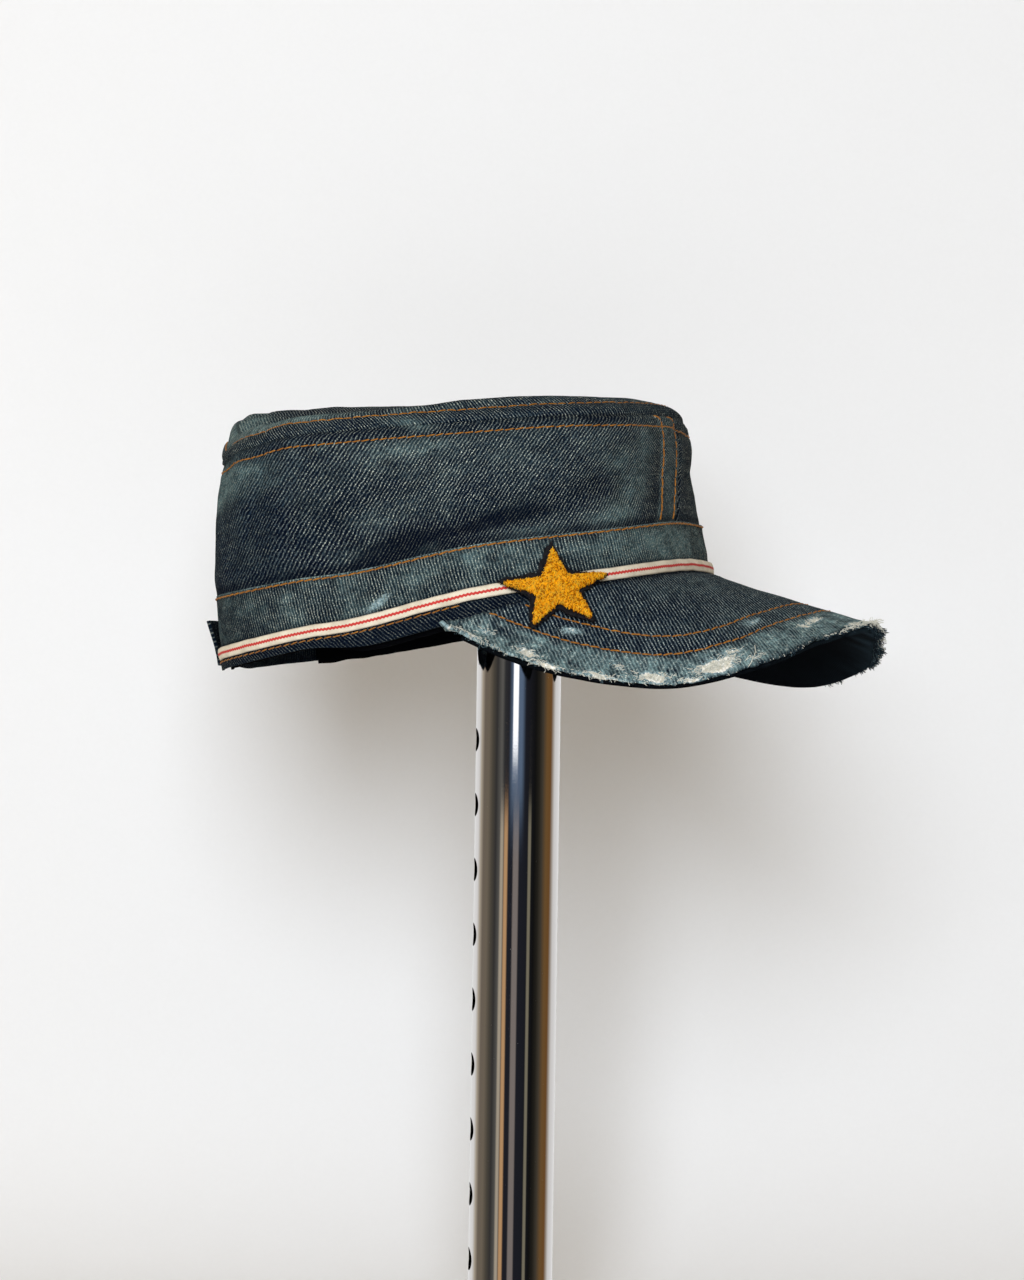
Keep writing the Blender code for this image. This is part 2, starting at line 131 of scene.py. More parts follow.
@lru_cache(maxsize=None)
def smoothRow(rows, position):
    table = np.array(rows, float)
    last = len(table) - 1
    index = min(int(position), last - 1)
    t = position - index
    before = table[index - 1] if index else 2 * table[0] - table[1]
    after = table[index + 2] if index + 2 <= last else 2 * table[last] - table[last - 1]
    here, there = table[index], table[index + 1]
    row = 0.5 * (
        2 * here + (there - before) * t + (2 * before - 5 * here + 4 * there - after) * t**2
        + (3 * here - before - 3 * there + after) * t**3
    )
    return tuple(row.tolist())


def smoothStep(value, low, high):
    t = min(1.0, max(0.0, (value - low) / (high - low)))
    return t * t * (3 - 2 * t)


def bell(distance, width):
    return math.exp(-((distance / width) ** 2))


# Degrees from one bearing to another, the short way round
def apart(bearing, middle):
    return (bearing - middle + 180) % 360 - 180


def swayAt(bearing, rimShare, crownShare):
    degrees = apart(math.degrees(bearing), 0)
    for here, there in zip(swayTable, swayTable[1:]):
        if degrees <= there.bearing:
            t = smoothStep(degrees, here.bearing, there.bearing)
            rim = here.rim + (there.rim - here.rim) * t
            crown = here.crown + (there.crown - here.crown) * t
            return rim * rimShare + crown * crownShare


def ringPoint(ring, bearing, inset=0.0):
    forward, across, height, nose, far, length, width, square, rimShare, crownShare = ring
    length = max(length - inset, 1e-4)
    width = max(width - inset, 1e-4)
    c, s = math.cos(bearing), math.sin(bearing)
    radius = (abs(c / length) ** square + abs(s / width) ** square) ** (-1 / square)
    x, y = radius * c, radius * s
    z = height + x * math.tan(math.radians(nose)) + y * math.tan(math.radians(far))
    z += swayAt(bearing, rimShare, crownShare)
    return Vector((forward + x, across + y, z))


@lru_cache(maxsize=None)
def ringOutward(ring, bearing):
    step = math.radians(0.5)
    along = ringPoint(ring, bearing + step) - ringPoint(ring, bearing - step)
    return Vector((along.y, -along.x, 0)).normalized()


# Length along the rim, in millimetres from the nose, for bearings in degrees
arcBearings = np.arange(-200.0, 200.5, 1.0)
arcPoints = [ringPoint(bandRings[2], math.radians(b)).to_2d() for b in arcBearings]
arcSteps = [0] + [(b - a).length for a, b in zip(arcPoints, arcPoints[1:])]
arcLengths = np.cumsum(arcSteps)
arcLengths = arcLengths - np.interp(0, arcBearings, arcLengths)


def arcAt(degrees):
    return float(np.interp(degrees, arcBearings, arcLengths))


def ripple(x, y, z, size):
    return noise.noise(Vector((x, y, z)) / size)


# A spot of cloth: its place, its own flat position in the cloth, how worn and bare it is, how far it is
# darkened, mostly as painted shade, and how far its pale flecks are dimmed, as rubbed smooth where worn and
# as painted shade elsewhere
Spot = namedtuple("Spot", "point across up wear pale dark plain", defaults=(0.0, 0.0, 0.0))
toneNames = Spot._fields[3:]


def makeCloth(name, node, grid, place, wall, material, closed=False):
    columns, rows = grid
    form = bmesh.new()
    bmesh.ops.create_grid(form, x_segments=columns, y_segments=rows, size=0.5)
    tones = {tone: form.verts.layers.float.new(tone) for tone in toneNames}
    flat = form.loops.layers.uv.new("cloth")
    spots = []
    for vert in form.verts:
        spot = place(vert.co.x + 0.5, vert.co.y + 0.5)
        spots.append(spot)
        vert.co = ontoCap(spot.point)
        for tone, layer in tones.items():
            vert[layer] = min(1.0, max(0.0, getattr(spot, tone)))
    form.verts.index_update()
    for face in form.faces:
        for loop in face.loops:
            spot = spots[loop.vert.index]
            loop[flat].uv = (spot.across, spot.up)
    if closed:
        bmesh.ops.remove_doubles(form, verts=form.verts, dist=0.002 * mm)
    item = finishPiece(addMesh(name, form), material)
    thickness = item.modifiers.new("wall", "SOLIDIFY")
    thickness.thickness = wall * mm
    thickness.offset = -1
    thickness.use_even_offset = True
    if node:
        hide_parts(node)
    return item


def addMesh(name, form):
    mesh = bpy.data.meshes.new(name)
    form.to_mesh(mesh)
    form.free()
    return addItem(name, mesh)


def finishPiece(item, material):
    item.data.materials.clear()
    item.data.materials.append(material)
    item.data.shade_smooth()
    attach(item, "root")
    return item


# Threads are lists of (point in metres, share of the thickness)
def makeThreads(name, threads, thick, material, sides=1):
    curve = bpy.data.curves.new(name, "CURVE")
    curve.dimensions = "3D"
    curve.bevel_depth = thick / 2 * mm
    curve.bevel_resolution = sides
    curve.use_fill_caps = True
    for thread in threads:
        spline = curve.splines.new("POLY")
        spline.points.add(len(thread) - 1)
        for knot, (point, share) in zip(spline.points, thread):
            knot.co = (*point, 1)
            knot.radius = share
    shape = addItem(name, curve)
    mesh = bpy.data.meshes.new_from_object(shape)
    mesh.name = name
    bpy.data.objects.remove(shape)
    return finishPiece(addItem(name, mesh), material)


# A point of a cloth and its outward direction, in the cap's frame
def surfaceAt(place, along, up):
    step = 0.002
    here = place(along, up).point
    right = place(along + step, up).point - place(along - step, up).point
    rise = place(along, min(up + step, 1)).point - place(along, max(up - step, 0)).point
    return here, right.cross(rise).normalized()


# Threads for a row of stitches along (along, up) pairs on a cloth
def stitchesAlong(place, route, sew, lift=0.0):
    spots = [surfaceAt(place, *pair) for pair in route]
    reach = np.cumsum([0] + [(b[0] - a[0]).length for a, b in zip(spots, spots[1:])])
    points = np.array([tuple(point) for point, normal in spots])
    normals = np.array([tuple(normal) for point, normal in spots])

    def at(distance):
        point = Vector([np.interp(distance, reach, points[:, k]) for k in range(3)])
        normal = Vector([np.interp(distance, reach, normals[:, k]) for k in range(3)])
        return point, normal.normalized()

    threads = []
    count = max(1, round(reach[-1] / sew["pitch"]))
    pitch = reach[-1] / count
    for index in range(count):
        start = (index + 0.5 * sew["gap"]) * pitch
        length = (1 - sew["gap"]) * pitch * random.uniform(0.92, 1.0)
        drift = random.uniform(-1, 1) * sew["drift"]
        thread = []
        for share, height, size in ((0, -0.30, 0.75), (0.14, 0.18, 1), (0.5, 0.28, 1.05),
                                    (0.86, 0.18, 1), (1, -0.30, 0.75)):
            point, normal = at(start + share * length)
            aside = normal.cross(at(start + length)[0] - at(start)[0]).normalized()
            point = point + normal * (height * sew["thick"] + lift)
            point = point + aside * (share - 0.5) * (sew["slant"] + drift)
            thread.append((ontoCap(point), size))
        threads.append(thread)
    return threads


# Finishes are written as sums of Values, each a node's output
class Value:
    def __init__(self, kit, socket):
        self.kit = kit
        self.socket = socket

    def __add__(self, other):
        return self.kit.math("ADD", self, other)

    def __sub__(self, other):
        return self.kit.math("SUBTRACT", self, other)

    def __rsub__(self, other):
        return self.kit.math("SUBTRACT", other, self)

    def __mul__(self, other):
        return self.kit.math("MULTIPLY", self, other)

    def __truediv__(self, other):
        return self.kit.math("DIVIDE", self, other)


shaderInputs = {
    "colour": "Base Color",
    "rough": "Roughness",
    "metal": "Metallic",
    "lustre": "Specular IOR Level",
    "normal": "Normal",
}


# Short ways to write a node tree
class Nodes:
    def __init__(self, tree):
        self.tree = tree

    def plug(self, socket, value):
        if isinstance(value, Value):
            self.tree.links.new(value.socket, socket)
        elif isinstance(value, tuple) and socket.type == "RGBA":
            socket.default_value = (*value, 1)
        else:
            socket.default_value = value

    def node(self, kind, output, inputs=None, **settings):
        node = self.tree.nodes.new("ShaderNode" + kind)
        for name, value in settings.items():
            setattr(node, name, value)
        for name, value in (inputs or {}).items():
            self.plug(node.inputs[name], value)
        return Value(self, node.outputs[output])

    def math(self, operation, *values, clamp=False):
        return self.node("Math", 0, dict(enumerate(values)), operation=operation, use_clamp=clamp)

    def wave(self, value, length=1.0):
        return self.math("SINE", value * (math.tau / length))

    def mix(self, share, first, second):
        return self.node("Mix", 2, {"Factor": share, 6: first, 7: second}, data_type="RGBA")

    def noise(self, place, scale, detail=2.0, rough=0.5):
        inputs = {"Vector": place, "Scale": scale, "Detail": detail, "Roughness": rough}
        return self.node("TexNoise", "Fac", inputs)

    def ramp(self, value, low, high):
        inputs = {"Value": value, "From Min": low, "From Max": high}
        return self.node("MapRange", "Result", inputs, interpolation_type="SMOOTHSTEP")

    # Noise with its low values cut to 0 and its high ones to 1
    def patches(self, place, scale, detail, rough, low, high):
        return self.ramp(self.noise(place, scale, detail, rough), low, high)

    def mapped(self, place, turn=0.0, stretch=(1, 1, 1)):
        inputs = {"Vector": place, "Rotation": (0, 0, math.radians(turn)), "Scale": stretch}
        return self.node("Mapping", 0, inputs)

    def flatCloth(self):
        return self.node("UVMap", 0, uv_map="cloth")

    def objectPlace(self):
        return self.node("TexCoord", "Object")

    def tone(self, name):
        return self.node("Attribute", "Fac", attribute_name=name)

    def split(self, place):
        parts = self.node("SeparateXYZ", 0, {0: place}).socket.node.outputs
        return [Value(self, part) for part in parts]

    def bump(self, height, distance, strength=1.0):
        return self.node("Bump", 0, {"Strength": strength, "Distance": distance, "Height": height})

    def surface(self, **finish):
        for name, value in finish.items():
            self.plug(self.tree.nodes["Principled BSDF"].inputs[shaderInputs[name]], value)


def newMaterial(name):
    material = bpy.data.materials.new(name)
    material.use_nodes = True
    return material, Nodes(material.node_tree)


# Indigo twill: raised diagonal ribs with flecks of pale weft between them, faded where worn
def makeDenim(name, weave):
    material, kit = newMaterial(name)
    cloth = kit.flatCloth()
    twill = kit.mapped(cloth, -weave["angle"])
    along, over, _ = kit.split(twill)
    shake = (kit.noise(cloth, 0.35, 3) - 0.5) * weave["shake"]
    over = (over + shake) / weave["pitch"]
    rib = kit.wave(over) * 0.5 + 0.5
    along = along / weave["fleck"] + kit.math("FLOOR", over) * 0.37
    beat = kit.wave(along + kit.noise(cloth, 1.1, 2) * 1.6) * 0.5 + 0.5
    yarn = kit.patches(kit.mapped(twill, 0, (0.30, 1.1, 1)), 1.0, 2, 0.6, 0.22, 0.60)
    slub = kit.patches(kit.mapped(cloth, 0, (0.16, 0.9, 1)), 0.5, 3, 0.6, 0.25, 0.75)
    grain = kit.noise(cloth, 1.7, 3, 0.75)
    fleck = kit.ramp(rib, 0.68, 1.0) * (kit.ramp(beat, 0.35, 0.95) * 0.70 + 0.30)
    fleck = fleck * kit.ramp(grain, 0.40, 0.60) * yarn * (slub * 0.8 + 0.45)

    wear, pale, dark, plain = (kit.tone(tone) for tone in toneNames)
    streak = kit.patches(kit.mapped(cloth, 0, (0.10, 0.6, 1)), 0.55, 4, 0.6, 0.42, 0.80)
    cloud = kit.patches(cloth, weave["cloud"], 4, 0.6, 0.42, 0.72)
    patchy = kit.patches(cloth, 0.22, 5, 0.7, 0.28, 0.66)
    worn = wear * (patchy * weave["patch"] + (1.05 - weave["patch"]))
    worn = kit.math("ADD", worn, (cloud + streak * 0.6) * weave["fade"], clamp=True)
    speck = kit.patches(cloth, weave["speck"], 2, 0.6, 0.36, 0.64)
    mottle = kit.patches(cloth, weave["speck"] * 0.22, 4, 0.75, 0.34, 0.66)
    shadow = (1.0 - speck * 0.55 - mottle * 0.45) * (worn * 0.60 + 0.35)
    colour = kit.mix(shadow, kit.mix(worn, weave["indigo"], weave["faded"]),
                     kit.mix(worn, weave["deep"], weave["teal"]))
    gap = (1.0 - kit.ramp(rib, 0.12, 0.90)) * (worn * weave["ease"] + 0.97)
    colour = kit.mix(gap, colour, weave["deep"])
    shine = fleck * (worn * -0.35 + weave["contrast"])
    # The plain tone dims the flecks: rubbed smooth where worn, painted shade elsewhere
    shine = kit.math("MULTIPLY", shine, 1.0 - plain * 0.85, clamp=True)
    colour = kit.mix(shine, colour, weave["weft"])
    chalk = kit.patches(cloth, weave["speck"] * 0.8, 2, 0.65, 0.56, 0.68)
    colour = kit.mix(chalk * worn * weave["chalk"], colour, weave["weft"])
    blotch = kit.patches(kit.mapped(cloth, 0, (1, 1.5, 1)), 0.11, 4, 0.65, 0.46, 0.70)
    colour = kit.mix(blotch * weave["blotch"], colour, weave["deep"])
    fuzz = kit.patches(cloth, 0.9, 4, 0.8, 0.32, 0.64)
    lint = kit.patches(kit.mapped(cloth, 20, (0.5, 1.6, 1)), 0.5, 3, 0.6, 0.35, 0.65)
    frayed = fuzz * 0.45 + pale
    haze = kit.mix(fuzz, (0.10, 0.17, 0.20), (0.34, 0.46, 0.48))
    colour = kit.mix(kit.ramp(frayed, 0.34, 0.80) * 0.85, colour, haze)
    cotton = kit.mix(lint, (0.66, 0.60, 0.47), (0.90, 0.89, 0.85))
    colour = kit.mix(kit.ramp(frayed, 0.80, 0.96), colour, cotton)
    # Painted shade: the dark tone pulls the colour towards the deepest indigo
    colour = kit.mix(dark * 0.8, colour, weave["deep"])
    relief = rib * 0.8 + beat * 0.25 + grain * 0.6
    kit.surface(colour=colour, rough=1.0, lustre=0.03, normal=kit.bump(relief, weave["relief"] * mm))
    return material


denimWeave = {
    "angle": 50.0,              # of the ribs, from the rim
    "pitch": 1.18,              # millimetres between ribs
    "fleck": 1.0,               # millimetres between flecks along a rib
    "shake": 1.3,
    "speck": 2.0,               # how fine the speckle is
    "patch": 0.70,
    "cloud": 0.05,
    "blotch": 0.45,             # how dark the stains are
    "fade": 0.17,
    "contrast": 1.12,
    "chalk": 0.42,
    "ease": -0.66,              # how much the grooves fill where it is worn
    "relief": 0.30,
    "indigo": (0.0052, 0.0158, 0.0345),
    "deep": (0.0008, 0.0023, 0.0074),
    "faded": (0.128, 0.202, 0.205),
    "teal": (0.032, 0.068, 0.084),
    "weft": (0.69, 0.73, 0.60),
}
crownDenim = makeDenim("crown denim", denimWeave)
roofDenim = makeDenim("roof denim", {**denimWeave, "angle": 122.0, "fade": 0.19,
                                     "indigo": (0.0046, 0.0185, 0.0400)})
bandDenim = makeDenim("band denim", {
    **denimWeave, "angle": 101.0, "pitch": 1.25, "fade": 0.50, "speck": 1.4, "cloud": 0.08, "blotch": 0.55,
    "patch": 0.82, "indigo": (0.010, 0.024, 0.037), "contrast": 1.15,
})
stripDenim = makeDenim("strip denim", {**denimWeave, "angle": 132.0, "pitch": 1.2, "fade": 0.0,
                                       "contrast": 0.9})
peakDenim = makeDenim("peak denim", {
    **denimWeave, "angle": 131.0, "pitch": 1.32, "fade": 0.13, "speck": 0.95, "patch": 1.0, "blotch": 0.45,
    "indigo": (0.0060, 0.0190, 0.0400), "faded": (0.255, 0.385, 0.387), "teal": (0.009, 0.028, 0.044),
    "weft": (0.62, 0.70, 0.64), "contrast": 1.15, "chalk": 0.70, "ease": -0.82,
})


def makeCotton():
    material, kit = newMaterial("black cotton")
    cloth = kit.flatCloth()
    x, y, _ = kit.split(cloth)
    weave = kit.wave(x, 0.7) * kit.wave(y, 0.7) * 0.5 + 0.5
    lint = kit.patches(cloth, 0.8, 3, 0.7, 0.55, 0.85)
    colour = kit.mix(weave, (0.0010, 0.0011, 0.0016), (0.0026, 0.0028, 0.0036))
    colour = kit.mix(lint * 0.16, colour, (0.012, 0.013, 0.017))
    worn = kit.mix(weave, (0.005, 0.010, 0.016), (0.026, 0.044, 0.056))
    colour = kit.mix(kit.tone("wear"), colour, worn)
    kit.surface(colour=colour, rough=1.0, lustre=0.01, normal=kit.bump(weave + lint, 0.12 * mm, 0.6))
    return material


# Cream ribs with a red zigzag along the middle and darker edges
def makeTape():
    material, kit = newMaterial("cream tape")
    cloth = kit.flatCloth()
    middle = 9.0                # millimetres over the rim
    x, y, _ = kit.split(cloth)
    ribs = kit.wave(y * 0.9 + x, 0.62) * 0.5 + 0.5
    dirt = kit.patches(cloth, 0.16, 4, 0.6, 0.35, 0.8)
    colour = kit.mix(dirt, (0.80, 0.71, 0.56), (0.58, 0.50, 0.38))
    colour = kit.mix((1.0 - ribs) * 0.30, colour, (0.40, 0.36, 0.29))
    zigzag = kit.wave(x, 1.5) * 0.16
    red = 1.0 - kit.ramp(kit.math("ABSOLUTE", y + zigzag - middle), 0.38, 0.62)
    colour = kit.mix(red * (ribs * 0.12 + 0.88), colour, (0.52, 0.010, 0.012))
    edges = kit.ramp(kit.math("ABSOLUTE", y - middle), 1.9, 2.3)
    colour = kit.mix(edges * (ribs * -0.5 + 0.6), colour, (0.10, 0.085, 0.07))
    kit.surface(colour=colour, rough=0.85, lustre=0.2, normal=kit.bump(ribs + red, 0.14 * mm, 0.7))
    return material


def makeThreadFinish(name, light, shade, rough=0.6, metal=0.0, lustre=0.3):
    material, kit = newMaterial(name)
    place = kit.objectPlace()
    tone = kit.patches(place, 900, 3, 0.6, 0.3, 0.7)
    drift = kit.patches(place, 60, 2, 0.5, 0.3, 0.75)
    colour = kit.mix(drift * 0.45, kit.mix(tone, shade, light), shade)
    kit.surface(colour=colour, rough=rough, metal=metal, lustre=lustre,
                normal=kit.bump(kit.noise(place, 2600, 2), 0.1 * mm, 0.5))
    return material


blackCotton = makeCotton()
creamTape = makeTape()
orangeThread = makeThreadFinish("orange thread", (0.42, 0.172, 0.022), (0.21, 0.074, 0.010))
whiteThread = makeThreadFinish("white thread", (0.74, 0.72, 0.62), (0.50, 0.50, 0.44), 0.85)
blueThread = makeThreadFinish("blue thread", (0.13, 0.20, 0.22), (0.04, 0.07, 0.085), 0.9)
navyThread = makeThreadFinish("navy thread", (0.018, 0.036, 0.052), (0.004, 0.009, 0.016), 0.9)
blackFelt = makeThreadFinish("black felt", (0.016, 0.015, 0.017), (0.005, 0.005, 0.006), 0.95)
goldThread = makeThreadFinish("gold thread", (1.0, 0.515, 0.004), (0.72, 0.256, 0.0015), 0.55, 0.0, 0.5)
# A darker copy of the gold: painted shade in the gaps of the pile and on some of its loops
goldPaintedShadeThread = makeThreadFinish("gold thread painted shade", (0.56, 0.19, 0.003), (0.27, 0.082, 0.001), 0.8, 0.0, 0.3)
# Metal yarn, its paler colour a painted highlight
lurexPaintedHighlightThread = makeThreadFinish("lurex thread painted highlight", (1.0, 0.74, 0.10), (1.0, 0.55, 0.02), 0.28, 0.6, 0.5)
print("finishes made")

# Crown: two wall panels and a roof
crown = {
    "wall": 1.3,
    "seam": 0.6,                # bearing of the panel's edge beside the nose
    "seamBow": 5.5,             # how far the seam swings forward half way up
    "slit": 0.12,
    "strip": 11.2,              # degrees: the sewn-down edge beside the seam
    "stripRise": 0.7,
    "rowHeight": 73.1,          # ring height of the lower row of stitches
    "groove": 0.45,
    "pucker": 0.28,
    "roll": 0.12,               # how far the cloth turns in at the seam with the roof
    "hem": 0.04,                # share of the roof that is tucked behind the wall
    "tuck": 1.9,                # how far what is tucked behind lies inwards
}
seamRows = (1.6, crown["strip"] - 1.2)  # degrees from the seam to its two rows of stitches
backCorner = -157.0             # bearing of the corner at the near back
meanRadius = 84.0               # of the crown, to turn a bearing into a length
# Dents and bulges: bearing and ring height from and to, width and outward depth in millimetres
Fold = namedtuple("Fold", "bearing height toBearing toHeight width depth")
wallFolds = [
    Fold(-96, 31, -84, 33, 5, -1.7), Fold(-84, 33, -64, 37, 5.5, -2.3), Fold(-64, 37, -50, 42, 5.5, -1.9),
    Fold(-50, 42, -31, 49, 6, -1.5),
    Fold(-118, 36, -98, 52, 11, 1.5), Fold(-90, 46, -70, 50, 9, 1.4), Fold(-60, 44, -42, 58, 8, 0.8),
    Fold(-115, 34, -112, 68, 4, -0.5), Fold(-119, 36, -117, 66, 5, 0.6),
    Fold(-22, 31, -23, 48, 3, -0.6), Fold(-136, 34, -140, 66, 7, -0.7),
    Fold(118, 34, 96, 48, 9, -1.6), Fold(74, 38, 58, 58, 9, -1.4), Fold(150, 42, 172, 54, 12, 1.2),
    Fold(-172, 78, -142, 78, 7, -2.2), Fold(6, 75, 32, 76, 6, -1.6),
    Fold(-160, 56, 176, 40, 10, -1.4), Fold(40, 34, 24, 56, 7, -0.9), Fold(134, 60, 128, 36, 6, -0.8),
    Fold(-158, 37, -140, 37, 7, 1.2), Fold(-128, 48, -124, 66, 2.5, -0.7),
]


# How far the top is drawn in at the near back corner and at the far front
def drawnIn(degrees):
    return 0.2 * bell(apart(degrees, backCorner), 24) + 1.3 * bell(degrees - 21, 13)


# Where it is faded, and in the wall's painted shade table where shade is painted: bearing, ring height, how
# far along and up in millimetres, and how much
Fade = namedtuple("Fade", "bearing height reach rise amount")
wallFades = [
    Fade(-150, 67, 20, 7.0, 2.6), Fade(-127, 68.5, 12, 3, 0.5), Fade(-120, 63.5, 8, 2.5, 0.3),
    Fade(-77, 69.0, 18, 3.0, 0.70), Fade(-36, 67.5, 16, 3.6, 0.15), Fade(-19, 47, 8, 6, 0.7),
    Fade(-15, 62, 6, 12, 0.6), Fade(-75, 77, 6, 2.2, 0.9), Fade(-40, 58, 26, 8, 0.15),
    Fade(-90, 66, 30, 8, 0.18), Fade(-66, 60, 8, 5, 0.22), Fade(-84, 45, 12, 4, 0.25),
    Fade(-49, 31.5, 10, 1.7, 0.55), Fade(-74, 31.5, 5, 1.6, 0.8), Fade(-30, 34, 9, 3.6, 0.7),
    Fade(-24, 38, 7, 4.5, 0.8), Fade(-24, 58, 6, 5, 0.45), Fade(-95, 35, 10, 2.6, 0.3),
    Fade(100, 68, 30, 5, 0.6), Fade(40, 66, 20, 6, 0.5), Fade(150, 50, 16, 8, 0.3),
]
# Painted shade on the wall, darker in the valleys of the folds, beside the bulges, under the rows of stitches
# and along the seam with the roof
wallPaintedShades = [
    Fade(-123, 40, 30, 10, 0.12), Fade(-100, 49, 9, 7, 0.6), Fade(-110, 54, 6, 3, 0.5),
    Fade(-89, 33.8, 12, 3.9, 1.3), Fade(-78, 36.4, 13, 3.9, 1.25), Fade(-62, 35.8, 9, 2.6, 0.8),
    Fade(-55, 38.6, 9, 3.6, 1.1),
    Fade(-47, 40.5, 10, 4.2, 0.9), Fade(-34, 48, 9, 5, 0.55), Fade(-27, 50, 6, 4, 0.3),
    Fade(-8, 39, 8, 6, 0.5), Fade(14, 50, 16, 20, 0.2), Fade(-50, 65, 18, 3, 0.25),
    Fade(-84, 54, 14, 6, 0.25), Fade(-70, 46, 8, 5, 0.2), Fade(-69, 36, 8, 5, 0.4),
    Fade(-50, 71.4, 26, 1.8, 0.35), Fade(-78, 71.2, 12, 1.6, 0.4),
    Fade(-100, 76, 24, 2.0, 0.4), Fade(-60, 75.4, 50, 1.4, 0.4), Fade(-30, 76, 20, 2.0, 0.3),
]
# The weave leans over towards the back, so the cloth's own lengths are eased there
grainArcs = np.arange(-300.0, 301.0, 5.0)


def fadeAndShadeAt(fadesAndShades, bearing, height):
    total = 0.0
    for fade in fadesAndShades:
        across = math.radians(apart(bearing, fade.bearing)) * meanRadius
        total += fade.amount * bell(across, fade.reach) * bell(height - fade.height, fade.rise)
    return total


grainSteps = [5 * (0.72 + 0.28 * smoothStep(abs(arc), 165, 105)) for arc in grainArcs[1:]]
grainPlaces = np.cumsum([0] + grainSteps)


def grainAt(ring, bearing, arc):
    lean = (ring[0] - wallRings[0].forward) * math.sin(bearing)
    return float(np.interp(arc, grainArcs, grainPlaces)) - lean


def foldDepth(bearing, height):
    depth = 0.0
    for fold in wallFolds:
        runAcross = math.radians(apart(fold.toBearing, fold.bearing)) * meanRadius
        runUp = fold.toHeight - fold.height
        across = math.radians(apart(bearing, fold.bearing)) * meanRadius
        up = height - fold.height
        along = (across * runAcross + up * runUp) / (runAcross**2 + runUp**2)
        along = min(1, max(0, along))
        depth += fold.depth * bell(math.hypot(across - along * runAcross, up - along * runUp), fold.width)
    return depth


def seamBearing(height):
    share = min(1, max(0, (height - wallFoot) / (wallTop - wallFoot)))
    return crown["seam"] + crown["seamBow"] * math.sin(math.pi * share)


# Side -1 is the right panel, from the back to the nose, and 1 the left one
def wallPlace(side):
    def place(along, up):
        ring = smoothRow(wallRings, up * (len(wallRings) - 1))
        height = ring[2]
        seam = seamBearing(height) + side * crown["slit"]
        back = side * (180 - crown["slit"])
        tuck = 0.0
        if side > 0:
            tuck = max(0, 1 - along / 0.014, (along - 0.986) / 0.014)
            along = along + (0.011 if along > 0.5 else -0.011) * tuck
        bearing = back + (seam - back) * along if side < 0 else seam + (back - seam) * along
        radians = math.radians(bearing)
        fade = min(1, max(0, up - 0.25) * 7, (1 - up) * 5)
        depth = foldDepth(bearing, height) * fade
        arc = arcAt(bearing)
        depth += 0.55 * ripple(arc, height, 3.1, 17) * fade + 0.22 * ripple(arc, height * 1.4, 9.7, 6) * fade
        rise = side * (bearing - seam)
        strip = 0.0
        if side < 0:
            strip = smoothStep(seam - bearing, crown["strip"], crown["strip"] - 1.2)
            depth += crown["stripRise"] * strip * min(1, max(0, up - 0.22) * 12) * smoothStep(up, 1.0, 0.93)
            for row in seamRows:
                depth -= 0.3 * bell((seam - row - bearing) * 1.5, 0.8) * fade
        row = bell(height - crown["rowHeight"], 0.9)
        depth -= crown["groove"] * row * (1 + 1.2 * ripple(arc, 0, 5.5, 3.4))
        above = smoothStep(height, crown["rowHeight"] - 0.6, crown["rowHeight"] + 0.8)
        depth += 0.35 * above + crown["pucker"] * ripple(arc, 0, 1.3, 4.2) * bell(
            height - crown["rowHeight"], 3.2)
        depth -= crown["roll"] * bell(up - 1, 0.025) + crown["tuck"] * smoothStep(tuck, 0, 0.35)
        depth -= drawnIn(bearing) * smoothStep(height, 46, 74)
        depth += 1.5 * bell(bearing + 150, 26) * smoothStep(height, 42, 32)
        depth += 0.7 * bell(apart(bearing, backCorner), 24) * bell(height - 73, 3.5)
        point = ringPoint(ring, radians) + ringOutward(ring, radians) * depth
        wear = fadeAndShadeAt(wallFades, bearing, height) + 0.03 * above
        wear += 0.3 * bell(height - crown["rowHeight"] + 1.6, 1.2) * max(0, ripple(arc, 1, 2, 9) + 0.3)
        if side < 0:
            wear += 0.6 * bell(seam - bearing - crown["strip"] + 0.5, 0.8) + 0.45 * strip
        # Painted shade: the table above, and more just above the band, in the seam with the roof and over the
        # strip above the lower row
        dark = fadeAndShadeAt(wallPaintedShades, bearing, height)
        dark += 0.7 * bell(height - wallFoot, 1.8) + 0.25 * bell(height - wallTop, 0.5) + 0.10 * above
        # Dimmed flecks: painted shade on the sides towards the back, and rubbed smooth on the worn places
        # there
        plain = 0.75 * smoothStep(abs(bearing), 98, 124) * (1 - smoothStep(abs(bearing), 150, 175))
        plain = max(plain, 0.5 * fadeAndShadeAt(wallFades[:3], bearing, height))
        return Spot(point, grainAt(ring, radians, arc), height, wear, 0.0, dark, plain)
    return place


def roofShare(row):
    return crown["hem"] + (1 - crown["hem"]) * row / (len(roofRings) - 1)


